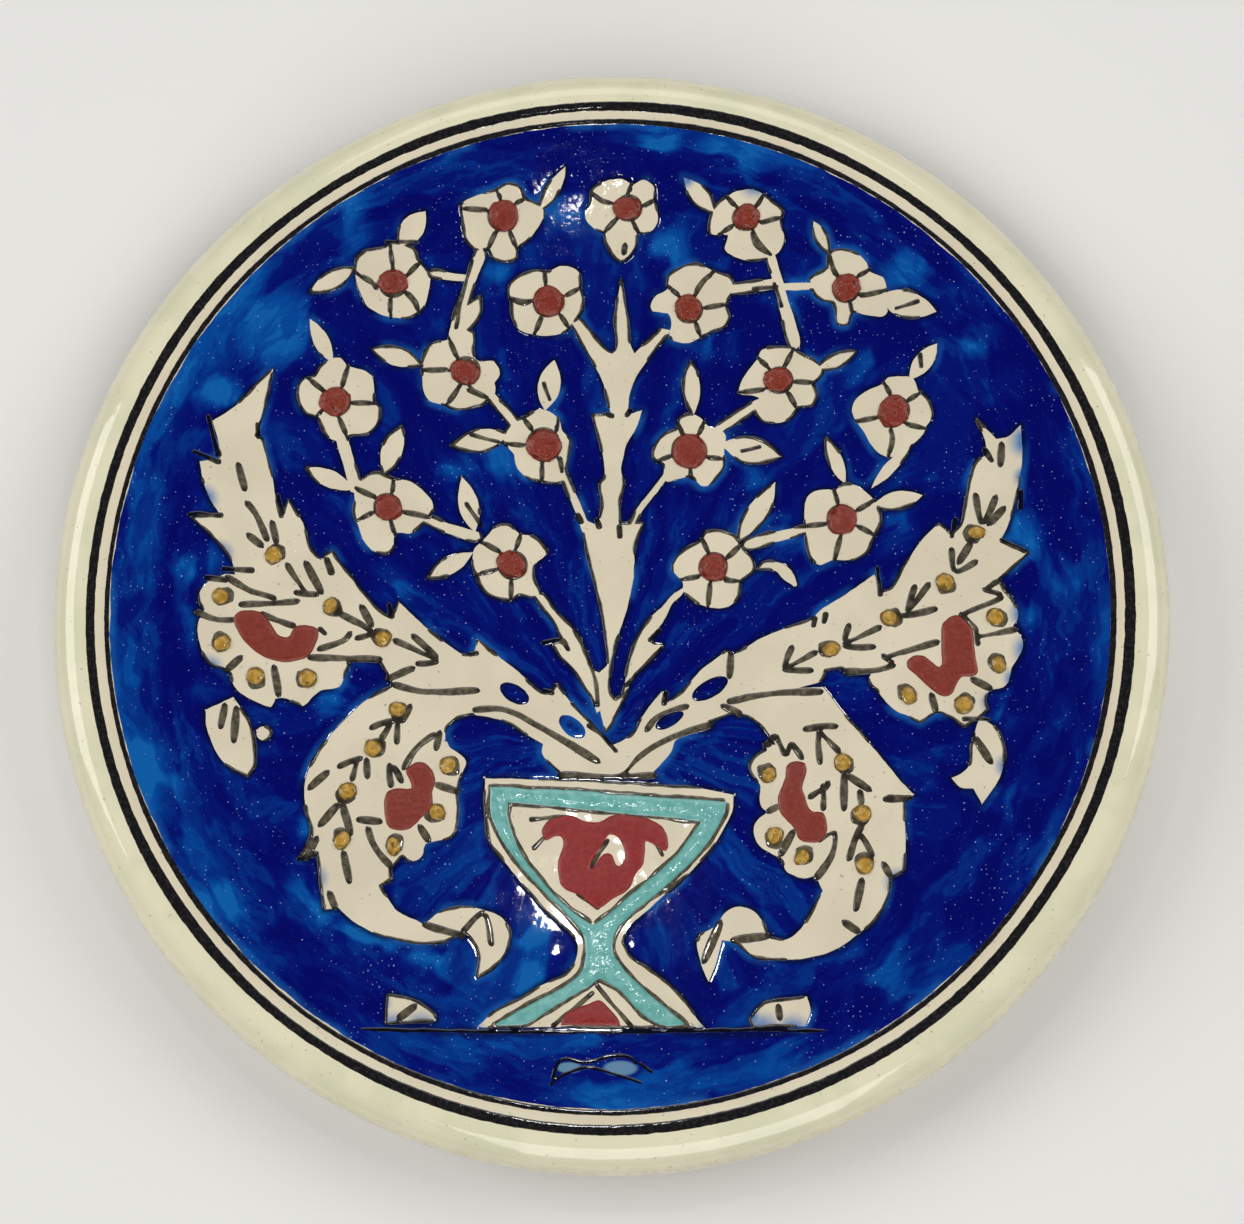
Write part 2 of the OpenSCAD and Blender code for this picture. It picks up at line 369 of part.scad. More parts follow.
// Vase: its white edge, its turquoise band with the bare panel inside, and the red painted in the panel
VASE_EDGE = [
    [-26.2, -38.8], [-10, -39.1], [0, -39.5], [12, -40.4], [22, -41.4], [26.8, -42.4], [26.1, -46.3],
    [23.4, -51.4], [18.6, -57.4], [10, -65], [5, -69.6], [3.2, -73], [4.6, -75.6], [8.4, -78.4],
    [14, -83], [20, -90.2], [-26.4, -90.2], [-22.9, -87], [-17.9, -84.6], [-12.9, -81.6], [-8.6, -79.6],
    [-6.4, -77], [-6.1, -74.1], [-7.5, -71.3], [-10, -69.1], [-13.9, -65.4], [-17.7, -60.9],
    [-21.6, -56.4], [-24.8, -52], [-25.9, -45]
];
VASE_BAND = [
    [-25, -40.4], [-10, -41.1], [0, -41.8], [12, -42.8], [25.3, -43.6], [24.6, -47], [20, -54],
    [13, -61], [5, -67.6], [1.8, -71.4], [1.4, -75], [3.2, -78], [8.2, -83], [16.6, -89.8], [11, -89.8],
    [6, -86.4], [2, -82.6], [-1.6, -80.6], [-4.2, -82.4], [-10, -85.7], [-17, -89.8], [-23.4, -89.8],
    [-18, -86.8], [-11, -82.6], [-5.6, -79.4], [-4.6, -76], [-5.2, -71.6], [-8.4, -67.6], [-15, -61],
    [-21, -54], [-24.6, -47]
];
VASE_PANEL = [
    [-21, -44], [-8, -45.2], [19.6, -48], [14, -55.4], [8, -60.6], [1, -66.6], [-3, -69.6], [-8, -66],
    [-13, -61], [-18, -54.5], [-20.8, -48]
];
VASE_PALMETTE = [
    [-13.8, -49.8], [-12, -47.5], [-8, -46.6], [-6.2, -47.2], [-4.6, -47.9], [-1.4, -47.9], [0.4, -46.9],
    [3.1, -46.4], [6.4, -46.9], [9.2, -47.7], [11.7, -49.3], [12.8, -52], [12.4, -54.2], [10.3, -53.2],
    [8.1, -51.9], [8, -54.4], [7.6, -57], [6, -59.2], [5.2, -61.4], [3.6, -63], [0.9, -64.3],
    [-2.3, -66.2], [-5.4, -63.6], [-9.2, -61.8], [-10.3, -59], [-10.3, -56], [-9.4, -53.2],
    [-9.8, -51.4], [-11.4, -51.3], [-13, -52]
];
PALMETTE_EYE = [
    [0.4, -50.7], [2.4, -51.4], [3.6, -53.6], [3.7, -55.8], [2.7, -57.3], [1.7, -56.8], [1.2, -55.2],
    [0.1, -54.6], [-1.3, -55.2], [-2.8, -57.4], [-3.5, -57.8], [-3.1, -56.2], [-1.8, -54], [-0.5, -52.2]
];
VASE_FOOT_RED = [
    [-9.6, -89.9], [-9.3, -88.4], [-7.1, -86.6], [-3.6, -85.4], [-1.4, -84.8], [0.7, -86.6],
    [2.5, -88.8], [2.9, -89.9]
];

// Red patches in the half rosettes
FLORETS = [
    [
        [-80.5, -4.4], [-79, -2.9], [-75.4, -2.9], [-73.6, -3.9], [-72.4, -5.8], [-71, -7.9],
        [-69, -8.4], [-68.2, -7.2], [-67.2, -6], [-64.8, -5.8], [-62.3, -6.8], [-62.9, -10.2],
        [-64.6, -12.8], [-68.6, -14], [-72.4, -13.4], [-75.4, -12], [-78.2, -9.2], [-79.6, -6.8]
    ],
    [
        [71.3, -7], [72.4, -5.4], [74.4, -4.4], [76.2, -5.3], [77.7, -7.8], [78, -11.4], [78.6, -17],
        [76.6, -17.8], [75.2, -17.8], [74, -19.2], [73.1, -21.2], [71.9, -22], [69.8, -21.3],
        [65.6, -17.3], [64, -15.7], [63.9, -14.2], [65.3, -13], [67.3, -13], [68.8, -14.2],
        [70.2, -15.4], [71, -15.2], [71.2, -12.2]
    ],
    [
        [-43, -37.2], [-41.4, -35.6], [-39.2, -35.4], [-37.3, -37.2], [-36.7, -39.8], [-37.2, -41.8],
        [-36.9, -44], [-37.8, -45.8], [-39.8, -47.8], [-41.6, -49.4], [-44, -50], [-46.3, -49],
        [-47.2, -46.4], [-47.4, -43.6], [-46.6, -41.6], [-44, -41], [-41.6, -41], [-42.2, -39]
    ],
    [
        [38, -36.4], [39.3, -35.3], [41.8, -35.8], [42, -38.2], [41.3, -40.8], [41.8, -43],
        [42.2, -44.8], [43.3, -46], [45.4, -46.2], [46.2, -48.4], [45.9, -50.6], [44.4, -52.3],
        [41.8, -52.5], [40.1, -51.6], [39.2, -49.5], [37.6, -47.7], [36.3, -45.6], [36.1, -42.8],
        [37, -40.6], [37.8, -38.6]
    ]
];

// Ochre dots along the leaves and in the rosettes
DOTS = [
    [-72.4, 9.5], [-60, -1.5], [-48.5, -8.5], [-83.3, 0.2], [-82.6, -10], [-75.3, -17], [-64.3, -17.4],
    [79.3, 13.4], [72.4, 2.8], [60.5, -4.7], [48, -11.3], [82.6, -5.1], [82.8, -15.4], [64, -21.6],
    [75.3, -23.8], [-45, -24], [-50, -32.4], [-55, -41.6], [-55.7, -52], [-34, -36], [-36, -46],
    [-45, -53.3], [49.8, -35.7], [53.6, -46.6], [53.6, -57.4], [34.2, -38.3], [35.2, -51], [40.8, -55.6]
];

// Brush lines on the white leaves, rosettes, stems and buds, each through two or more points
LINES = [
    [[4.1, 79.4], [3.8, 77.6]], [[-80.5, 29.5], [-79, 24]], [[-78.5, 21], [-76.5, 18.5], [-74, 13]],
    [[-73, 16.8], [-72, 12.5]], [[-78, 14], [-75, 11.5]], [[-69.5, 7.5], [-65.5, 1.5]],
    [[-65.5, 8], [-62, 1.5]], [[-67.5, 1.5], [-63, 1]], [[-58, -3], [-51, -7]],
    [[-53.3, -1.5], [-51, -5.5]], [[-54, -8.5], [-51, -7.5]], [[-46, -9], [-37, -13]],
    [[-42, -8], [-37, -12.6]], [[-41, -14], [-37, -13.6]], [[-79, -1.5], [-72, -1], [-67, -0.5]],
    [[-62, -11], [-57, -9], [-55.5, -7.4]], [[-28.5, -24], [-22, -24], [-14, -28], [-2, -35.2]],
    [[-81.5, -23.4], [-82.2, -28]], [[-79, -24], [-79.3, -31]], [[-42.3, -23.2], [-44, -26.5]],
    [[-45, -26.2], [-45, -31]], [[-50.5, -28], [-46, -26.5]], [[-46.6, -27], [-48.4, -30.6]],
    [[-57, -36.4], [-52.5, -34.6]], [[-53.2, -35], [-54.2, -39]], [[-51.2, -35], [-51, -38.5]],
    [[-60.5, -48.8], [-57, -44.5]], [[-56, -44.4], [-54, -50.5]], [[-55.4, -54.6], [-54, -60.5]],
    [[-52.5, -47.6], [-48, -48]], [[-46.4, -36], [-46, -40.4]], [[-45.6, -36.4], [-43.8, -39.4]],
    [[-39.6, -49], [-37.6, -52]], [[-59.4, -37.6], [-63, -41]], [[-25.4, -67.6], [-24, -73.4]],
    [[79.5, 21.5], [80.4, 15.6]], [[83.6, 21], [81, 15.6]], [[85.2, 18.5], [82, 15.2]],
    [[78, 11], [75.4, 7]], [[74, 9.8], [74.4, 5.4]], [[79, 7], [75, 5]], [[66, 2], [64.4, -3.4]],
    [[69, 2.4], [64.6, -3]], [[70.2, -3], [63, -4.4]], [[52, -6.2], [51, -9.4]],
    [[58.4, -6.8], [51, -10]], [[57, -11], [51, -10.6]], [[39.6, -10.8], [38, -15.4]],
    [[44.6, -12], [38.2, -15.4]], [[43.6, -15.8], [38, -15.6]], [[85.2, 32.5], [84.8, 28]],
    [[84, -1], [78, -3.4], [75.4, -4.6]], [[70.4, -10.2], [64, -12], [59.4, -13.4]],
    [[45.6, -20.6], [35, -20.8], [26, -22.4]], [[42, -28.5], [48.6, -28]], [[45, -29], [45, -35.6]],
    [[45.2, -29], [49, -33.4]], [[50, -38], [49.8, -45.6]], [[51, -38.6], [55.2, -41.6]],
    [[53.2, -42], [53.4, -44.4]], [[53.4, -49], [50.4, -56]], [[53, -51], [55.2, -55.2]],
    [[53, -60.4], [51.5, -66.4]], [[42.8, -43], [46, -41], [46.6, -40]], [[45.6, -40.6], [45.5, -45.4]],
    [[39, -50.2], [36.4, -55]], [[35.2, -86], [35.4, -88.4]], [[-39.4, -86], [-42.6, -88.4]],
    [[-74.6, -3.4], [-71, -4.8], [-67.6, -6]], [[-37, -29.4], [-40.5, -32], [-43.4, -36.6]],
    [[-36.6, -32.4], [-35.8, -29]], [[75.8, -4.2], [78.4, -7.6], [78.8, -10.8]],
    [[59, -13], [60.8, -14.6]], [[34.2, -31.8], [35.5, -29.9]], [[35.7, -29.9], [37.7, -33.8]],
    [[38, -33.8], [39, -31.8]], [[39.2, -31.8], [41.2, -34.6]], [[80.6, 1], [83.8, -0.4]],
    [[8.4, -28.4], [10.4, -26], [13.5, -24.4], [17, -23.3]]
];

// Brush lines that run out over the edge of the white
EDGE_LINES = [
    [[-42, -15], [-47, -17.2]], [[-82, 4.5], [-77, 1.5], [-72, 0]],
    [[-64, -12.8], [-56, -13], [-49, -13]], [[-88, -3.4], [-84, -4.8], [-80.5, -4.8]],
    [[-78.6, -13], [-81.2, -15.6]], [[-71.5, -15], [-70.4, -21]],
    [[-46, -18.5], [-40, -20], [-28, -19.8]], [[-50.5, -49.5], [-48.5, -54], [-45.5, -57.4]],
    [[-36.4, -40.2], [-32, -41.6]], [[-61, -51.6], [-63, -55.4]], [[-58, -63], [-56.6, -66]],
    [[-38, -69.4], [-30, -71.6]], [[-30, -71], [-26, -67]], [[79, -9.2], [86.6, -8]],
    [[77.4, -18.4], [81, -20.6]], [[68.8, -21.6], [69.6, -25]], [[61, -15], [56, -16.2], [51, -16]],
    [[24.6, -23.4], [28.4, -25]], [[22, -27.4], [14, -30], [7, -34], [3, -38.4]],
    [[77.5, -31], [80.4, -36]], [[26.6, -12], [26.2, -17]],
    [[44.2, -52], [47.6, -50.6], [47, -55], [43.6, -60]], [[34, -46], [36, -45]],
    [[58.4, -43.5], [62.4, -43.4]], [[57.6, -57], [59, -59.6]], [[49, -69], [52, -71]],
    [[26, -72.8], [33.4, -71.8]], [[23.6, -69], [20, -77]], [[-10, -37.9], [10, -38.2]],
    [[83.4, 2.6], [81, 1]]
];

// Plate section from its axis outwards, drawn in by t from the glazed surface, its foot down to z = low
module section(t, low) {
    difference() {
        union() {
            polygon([
                [0, recess_z + t], [foot_r - foot_w - coat_t + t, recess_z + t],
                [foot_r - foot_w - coat_t + t + foot_taper, low], [foot_r + coat_t - t - foot_taper, low],
                [foot_r + coat_t - t, shoulder_z + t], [lip_cr, lip_cz - lip_r / 2],
                [lip_cr, lip_cz], [lip_cr - over, plate_h + over], [0, plate_h + over]
            ]);
            translate([lip_cr, lip_cz]) circle(lip_r - t);
        }
        translate([0, ball_z]) circle(ball_r + t, $fn = 720);
        polygon([
            [foot_r + coat_t - t, shoulder_z + t], [under_r, lip_cz + t],
            [under_r, -over], [foot_r + coat_t - t + over, -over]
        ]);
    }
}

module clay_body() {
    color("tan") rotate_extrude($fn = 180) section(coat_t, 0);
}

module coat_section() {
    difference() {
        section(0, foot_bare);
        section(coat_t, 0);
    }
}

module foot_well() {
    square([foot_r - foot_w / 2, floor_z - coat_t - floor_t / 2]);
}

module white_coat() {
    color("cornsilk") rotate_extrude($fn = 180) difference() {
        coat_section();
        foot_well();
    }
}

module foot_well_coat() {
    color("cornsilk") rotate_extrude($fn = 180) intersection() {
        coat_section();
        foot_well();
    }
}

// Ball that the dish is cut by, of radius r, turned so that its poles lie level
module ball(r) {
    translate([0, 0, ball_z]) rotate([0, -90, 0]) sphere(r, $fn = 360);
}

// Plan drawn by its children, raised from below the dish to above the lip
module tall() {
    translate([0, 0, floor_z - over]) linear_extrude(plate_h) children();
}

// Thin layer on the dish, t thick, over the plan drawn by its children
module layer(t) {
    difference() {
        intersection() {
            tall() children();
            ball(ball_r);
        }
        ball(ball_r - t);
    }
}

// Round drop of paint of radius r and height h on the dish at p
module drop(p, r, h) {
    away = norm(p);
    drop_ball = (r * r + h * h) / (2 * h);
    translate([0, 0, ball_z])
        rotate([0, -asin(away / ball_r), atan2(p.y, p.x)])
        translate([0, 0, -sqrt(ball_r * ball_r - r * r)])
        intersection() {
            translate([0, 0, h - drop_ball]) sphere(drop_ball, $fn = 180);
            cylinder(r = 2 * r, h = 2 * h);
        }
}

function heading(a, b) = (b - a) / norm(b - a);
function left_of(d) = [-d.y, d.x];

// Direction of a line of points at point i
function along(p, i) = heading(p[max(i - 1, 0)], p[min(i + 1, len(p) - 1)]);

// Outline of a brush mark of width w through the points, pointed at both ends
function mark(p, w) = let (n = len(p) - 1) concat(
    [p[0] - along(p, 0) * w / 2],
    [for (i = [0 : n]) p[i] - left_of(along(p, i)) * w / 2],
    [p[n] + along(p, n) * w / 2],
    [for (i = [n : -1 : 0]) p[i] + left_of(along(p, i)) * w / 2]
);

// Outline of a leaflet from base to tip, swelling to half_w at the middle
function leaflet(base, tip, half_w) = let (
    side = left_of(heading(base, tip)) * half_w,
    n = leaflet_steps
) concat(
    [for (i = [0 : n - 1]) let (s = i / n) base + (tip - base) * s - side * 4 * s * (1 - s)],
    [for (i = [n : -1 : 1]) let (s = i / n) base + (tip - base) * s + side * 4 * s * (1 - s)]
);

// Closed curve through the points, with curve_steps points from each to the next
function curve(p) = let (n = len(p)) [
    for (i = [0 : n - 1])
        let (a = p[(i + n - 1) % n], b = p[i], c = p[(i + 1) % n], d = p[(i + 2) % n])
        for (j = [0 : curve_steps - 1])
            let (s = j / curve_steps)
            b + (c - a) * s / 2 + (2 * a - 5 * b + 4 * c - d) * s * s / 2
                + (3 * b - a - 3 * c + d) * s * s * s / 2
];

// Line between two petals of blossom b, set to start just outside the heart
function petal_line(b, l) = mark(
    [for (i = [0 : len(l) - 1]) i > 0 ? l[i] : b[0] + heading(b[0], l[0]) * (b[1] + petal_line_w)],
    petal_line_w
);

function lobe(r) = [for (turn = [0 : lobe_step : 359]) r[0] + r[1] * [cos(turn), sin(turn)]];

module shape(points) {
    polygon([for (p = points) p * k]);
}

module lines(all) {
    for (l = all) shape(mark(l, brush_w));
}

module stem_ovals() {
    for (o = STEM_OVALS)
        translate(o[0] * k) rotate(o[3]) scale([o[1], o[2]] * k) circle(1, $fn = 24);
}

// Plan of what the blue ground is painted round, one group at a time
module motif(group) {
    if (group == 0) for (b = BLOSSOMS) shape(curve(b[2]));
    if (group == 1) for (l = LEAFLETS) shape(leaflet(l[0], l[1], l[2]));
    if (group == 2) for (t = TWIGS) shape(mark(t[1], t[0]));
    if (group == 3) for (s = [TRUNK, LEFT_STEM, RIGHT_STEM]) shape(s);
    if (group == 4) for (s = [UPPER_LEFT_LEAF, LOWER_LEFT_LEAF]) shape(s);
    if (group == 5) for (s = [UPPER_RIGHT_LEAF, LOWER_RIGHT_LEAF]) shape(s);
    if (group == 6) for (r = ROSETTES) shape(curve(r));
    if (group == 7) {
        for (b = BUDS) shape(b);
        shape(lobe(BUD_DOT));
        shape(VASE_EDGE);
    }
    if (group == 8) lines(EDGE_LINES);
}

// Blue field with the first n groups of motifs left out
module ground(n) {
    if (n == 0) layer(cobalt_t) circle(field_r * k, $fn = 360);
    else difference() {
        ground(n - 1);
        tall() motif(n - 1);
    }
}

module cobalt_ground() {
    color("mediumblue") {
        ground(motif_groups);
        layer(cobalt_t) stem_ovals();
    }
}

module ring(inner, outer) {
    difference() {
        circle(outer * k, $fn = 360);
        circle(inner * k, $fn = 360);
    }
}

module field_line() {
    color("black") layer(line_t) ring(field_r, field_line_r);
}

module rim_ring() {
    color("black") layer(line_t) ring(field_line_r + ring_gap, rim_ring_r);
}

module vase_band() {
    color("mediumaquamarine") layer(colour_t) difference() {
        shape(VASE_BAND);
        shape(VASE_PANEL);
    }
}

module vase_red() {
    color("firebrick") layer(colour_t) {
        difference() {
            shape(curve(VASE_PALMETTE));
            shape(curve(PALMETTE_EYE));
        }
        shape(VASE_FOOT_RED);
    }
}

module blossom_hearts() {
    color("firebrick") for (b = BLOSSOMS) drop(b[0] * k, b[1] * k, heart_h);
}

module floret_red() {
    color("firebrick") layer(colour_t) for (f = FLORETS) shape(curve(f));
}

module ochre_dots() {
    color("goldenrod") for (d = DOTS) drop(d * k, dot_r * k, dot_h);
}

module brush_lines() {
    color("dimgray") {
        layer(line_t) for (b = BLOSSOMS) for (l = b[3]) shape(petal_line(b, l));
        layer(line_t) difference() {
            lines(concat(LINES, EDGE_LINES));
            for (d = DOTS) shape(lobe([d, dot_r]));
            for (f = FLORETS) shape(curve(f));
            stem_ovals();
        }
    }
}

clay_body();
white_coat();
foot_well_coat();
cobalt_ground();
field_line();
rim_ring();
vase_band();
vase_red();
blossom_hearts();
floret_red();
ochre_dots();
brush_lines();
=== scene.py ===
import math

import bmesh
import bpy
import numpy as np
from mathutils import Matrix, Vector, kdtree, noise
from mathutils.geometry import delaunay_2d_cdt


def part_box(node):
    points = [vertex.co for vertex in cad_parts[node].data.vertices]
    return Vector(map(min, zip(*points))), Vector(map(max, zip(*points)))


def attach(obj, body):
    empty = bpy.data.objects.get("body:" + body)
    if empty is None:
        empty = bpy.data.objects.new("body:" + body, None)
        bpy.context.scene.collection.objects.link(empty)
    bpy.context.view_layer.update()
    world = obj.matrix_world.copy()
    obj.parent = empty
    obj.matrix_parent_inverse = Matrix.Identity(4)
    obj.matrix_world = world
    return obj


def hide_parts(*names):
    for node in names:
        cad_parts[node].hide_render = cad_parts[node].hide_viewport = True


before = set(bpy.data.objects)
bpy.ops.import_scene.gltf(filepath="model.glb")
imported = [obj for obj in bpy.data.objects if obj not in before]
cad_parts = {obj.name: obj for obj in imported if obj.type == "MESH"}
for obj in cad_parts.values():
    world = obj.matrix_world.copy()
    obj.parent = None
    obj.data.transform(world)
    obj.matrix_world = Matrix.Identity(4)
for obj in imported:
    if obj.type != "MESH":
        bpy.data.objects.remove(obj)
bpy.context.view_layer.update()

# Clay body
# The plate is thrown in buff earthenware and its foot is turned when the clay is leather hard.
# Only the bottom of the foot ring stays bare.
mm = 0.001


class Wire:
    """A socket of a node tree: arithmetic on it adds Math nodes, and make() adds any other node."""

    def __init__(self, tree, socket=None):
        self.tree = tree
        self.socket = socket

    def make(self, kind, settings=None, links=None, out=0):
        node = self.tree.nodes.new(kind)
        for name, value in (settings or {}).items():
            setattr(node, name, value)
        for key, value in (links or {}).items():
            if isinstance(value, Wire):
                self.tree.links.new(value.socket, node.inputs[key])
            else:
                node.inputs[key].default_value = value
        return Wire(self.tree, node.outputs[out] if node.outputs else None)

    def out(self, key):
        return Wire(self.tree, self.socket.node.outputs[key])

    def math(self, operation, *values):
        return self.make("ShaderNodeMath", {"operation": operation}, dict(enumerate(values)))

    def vector(self, operation, links, out=0):
        return self.make("ShaderNodeVectorMath", {"operation": operation}, links, out)

    def __add__(self, other):
        return self.math("ADD", self, other)

    def __sub__(self, other):
        return self.math("SUBTRACT", self, other)

    def __rsub__(self, other):
        return self.math("SUBTRACT", other, self)

    def __mul__(self, other):
        return self.math("MULTIPLY", self, other)

    def __truediv__(self, other):
        return self.math("DIVIDE", self, other)

    __radd__ = __add__
    __rmul__ = __mul__

    def smooth(self, low, high):
        """0 below low, 1 above high and a soft step between them."""
        return self.make("ShaderNodeMapRange", {"interpolation_type": "SMOOTHSTEP"},
                         {"Value": self, "From Min": low, "From Max": high})

    def noise(self, scale, detail=2.0, rough=0.5, out=0):
        """Noise over a vector, about 0.5 on average."""
        return self.make("ShaderNodeTexNoise", {},
                         {"Vector": self, "Scale": scale, "Detail": detail, "Roughness": rough}, out)

    def parts(self):
        """A vector taken apart, for its out("X"), out("Y") and out("Z")."""
        return self.make("ShaderNodeSeparateXYZ", {}, {0: self})

    def flat(self):
        """A place with its height left out."""
        return self.vector("MULTIPLY", {0: self, 1: (1, 1, 0)})

    def length(self):
        return self.vector("LENGTH", {0: self}, out="Value")

    def distance(self, x, y):
        """How far a flat place is from x and y."""
        return self.vector("DISTANCE", {0: self, 1: (x, y, 0)}, out="Value")

    def marked(self, name):
        """A number that the mesh holds at each point, as a material reads it."""
        return self.make("ShaderNodeAttribute", {"attribute_name": name}, out="Fac")

    def held(self, name, kind="FLOAT"):
        """What the mesh holds at each point or edge, as a Geometry Nodes tree reads it."""
        return self.make("GeometryNodeInputNamedAttribute", {"data_type": kind}, {"Name": name})


def linear(red, green, blue):
    """A colour from 0 to 255, as the eye reads it, in the renderer's linear terms."""
    parts = [c / 255 for c in (red, green, blue)]
    return tuple(c / 12.92 if c < 0.0405 else ((c + 0.055) / 1.055) ** 2.4 for c in parts) + (1,)


def blend(share, low, high):
    """Colour from low to high as share goes from 0 to 1."""
    return share.make("ShaderNodeMix", {"data_type": "RGBA"}, {0: share, 6: low, 7: high}, out=2)


def new_material(name):
    """A material with a bare Principled shader, and the place on the plate in millimetres as a wire."""
    material = bpy.data.materials.new(name)
    material.use_nodes = True
    shader = material.node_tree.nodes["Principled BSDF"]
    place = Wire(material.node_tree).make("ShaderNodeTexCoord", out="Object")
    return material, shader, place.vector("SCALE", {0: place, 3: 1 / mm})


def plug(shader, name, wire):
    """Links a wire to an input of a shader."""
    shader.id_data.links.new(wire.socket, shader.inputs[name])


def grow(name, inputs):
    """A new Geometry Nodes tree with these inputs, besides its geometry, as (tree, wires by name)."""
    tree = bpy.data.node_groups.new(name, "GeometryNodeTree")
    tree.interface.new_socket("Geometry", in_out="INPUT", socket_type="NodeSocketGeometry")
    for label, kind in inputs.items():
        tree.interface.new_socket(label, in_out="INPUT", socket_type="NodeSocket" + kind)
    tree.interface.new_socket("Geometry", in_out="OUTPUT", socket_type="NodeSocketGeometry")
    start = Wire(tree).make("NodeGroupInput")
    return tree, {label: start.out(label) for label in ["Geometry", *inputs]}


def close_tree(geometry, material):
    """Ends a tree: its result is realized, given its material and put out."""
    geometry = geometry.make("GeometryNodeRealizeInstances", {}, {"Geometry": geometry})
    geometry = geometry.make("GeometryNodeSetMaterial", {}, {"Geometry": geometry, "Material": material})
    geometry.make("NodeGroupOutput", {}, {0: geometry})


def placed(name, data):
    """A new object in the scene, at the origin."""
    made = bpy.data.objects.new(name, data)
    bpy.context.scene.collection.objects.link(made)
    return made


def worked(name, mesh, tree, values):
    """A piece: the mesh as the tree makes it from the values, kept as a plain mesh."""
    piece = placed(name, mesh)
    modifier = piece.modifiers.new(tree.name, "NODES")
    modifier.node_group = tree
    for item in tree.interface.items_tree:
        if item.in_out == "INPUT" and item.name in values:
            modifier[item.identifier] = values[item.name]
    graph = bpy.context.evaluated_depsgraph_get()
    made = bpy.data.meshes.new_from_object(
        piece.evaluated_get(graph), preserve_all_data_layers=True, depsgraph=graph)
    piece.modifiers.remove(modifier)
    piece.data = made
    made.name = name
    return piece


def thrown_tree():
    """Turns a section round the plate's axis, with the slight unevenness of a thrown rim."""
    tree, given = grow("thrown_form", {
        "Points": "Int", "Turn": "Int", "Rim from": "Float", "Rim to": "Float", "Uneven": "Float",
        "Material": "Material"})
    turn = given["Turn"]
    grid = turn.make("GeometryNodeMeshGrid", {}, {
        "Size X": given["Points"] - 1, "Size Y": turn, "Vertices X": given["Points"],
        "Vertices Y": turn + 1})
    at = turn.make("GeometryNodeInputPosition").parts()
    row = at.out("X") + (given["Points"] - 1) / 2
    section = turn.make("GeometryNodeSampleIndex", {"data_type": "FLOAT_VECTOR", "domain": "POINT"}, {
        "Geometry": given["Geometry"], "Value": turn.make("GeometryNodeInputPosition"),
        "Index": row.math("ROUND", row)}).parts()
    angle = at.out("Y") / turn * math.tau
    across = angle.math("COSINE", angle)
    along = angle.math("SINE", angle)
    round_it = turn.make("ShaderNodeCombineXYZ", {}, {"X": across, "Y": along})
    reach = section.out("X")
    rim = reach.smooth(given["Rim from"], given["Rim to"]) * given["Uneven"]
    swell = rim * (round_it.noise(1.7, 3) - 0.5)
    lift = rim * (round_it.vector("ADD", {0: round_it, 1: (5, 3, 1)}).noise(1.3, 3) - 0.5)
    radius = reach + swell
    place = turn.make("ShaderNodeCombineXYZ", {}, {
        "X": radius * across, "Y": radius * along, "Z": section.out("Z") + lift})
    geometry = grid.make("GeometryNodeSetPosition", {}, {"Geometry": grid, "Position": place})
    geometry = grid.make("GeometryNodeMergeByDistance", {}, {"Geometry": geometry, "Distance": 1e-6})
    geometry = grid.make("GeometryNodeSetShadeSmooth", {}, {"Geometry": geometry})
    close_tree(geometry, given["Material"])
    return tree


def thin_out(points, tolerance=0.004, longest=5.0):
    """The points that a line needs to keep its shape, no further apart than longest."""
    kept = [0]
    for i in range(2, len(points)):
        chord = points[i] - points[kept[-1]]
        off = points[kept[-1] + 1:i] - points[kept[-1]]
        length = max(np.hypot(*chord), 1e-9)
        away = np.abs(chord[0] * off[:, 1] - chord[1] * off[:, 0]).max() / length
        if away > tolerance or length > longest:
            kept.append(i - 1)
    return points[kept + [len(points) - 1]]


def eased(points, spread, step=0.25):
    """A line through the points with its corners eased over about spread, its ends kept."""
    points = np.array(points, float)
    run = np.concatenate([[0], np.cumsum(np.hypot(*np.diff(points, axis=0).T))])
    where = np.linspace(0, run[-1], int(run[-1] / step) + 1)
    line = np.column_stack([np.interp(where, run, points[:, i]) for i in (0, 1)])
    reach = int(3 * spread / step)
    weights = np.exp(-0.5 * (np.arange(-reach, reach + 1) * step / spread) ** 2)
    weights /= weights.sum()
    before = 2 * line[0] - line[reach:0:-1]
    behind = 2 * line[-1] - line[-2:-reach - 2:-1]
    padded = np.vstack([before, line, behind])
    return np.column_stack([np.convolve(padded[:, i], weights, "valid") for i in (0, 1)])


def headings(line):
    """Unit ways along a line, at each of its points."""
    way = np.gradient(line, axis=0)
    return way / np.hypot(way[:, 0], way[:, 1])[:, None]


def left_of(way):
    """Ways turned a quarter to the left."""
    return np.column_stack([-way[:, 1], way[:, 0]])


def inset(line, depth):
    """A line set in by depth to its left."""
    return line + depth * left_of(headings(line))


def arc(centre, radius, start, end, count):
    """Points along a circle, from start to end in degrees."""
    turn = np.radians(np.linspace(start, end, count))
    return np.column_stack([centre[0] + radius * np.cos(turn), centre[1] + radius * np.sin(turn)])


def dish_ball():
    """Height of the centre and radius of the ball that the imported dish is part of."""
    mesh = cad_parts["white_coat"].data
    # Its faces look up, and lie above the well and inside the lip
    dish = [
        f for f in mesh.polygons
        if f.normal.z > 0.9 and f.center.z > 0.015 and f.center.xy.length < 0.1]
    points = np.array([mesh.vertices[i].co for f in dish for i in f.vertices], float)
    rows = np.column_stack([2 * points[:, 2], np.ones(len(points))])
    (centre, rest), *_ = np.linalg.lstsq(rows, (points ** 2).sum(1), rcond=None)
    return centre, math.sqrt(rest + centre ** 2)


ball_z, ball_r = dish_ball()
coat_low, coat_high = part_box("white_coat")
_, well_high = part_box("foot_well_coat")

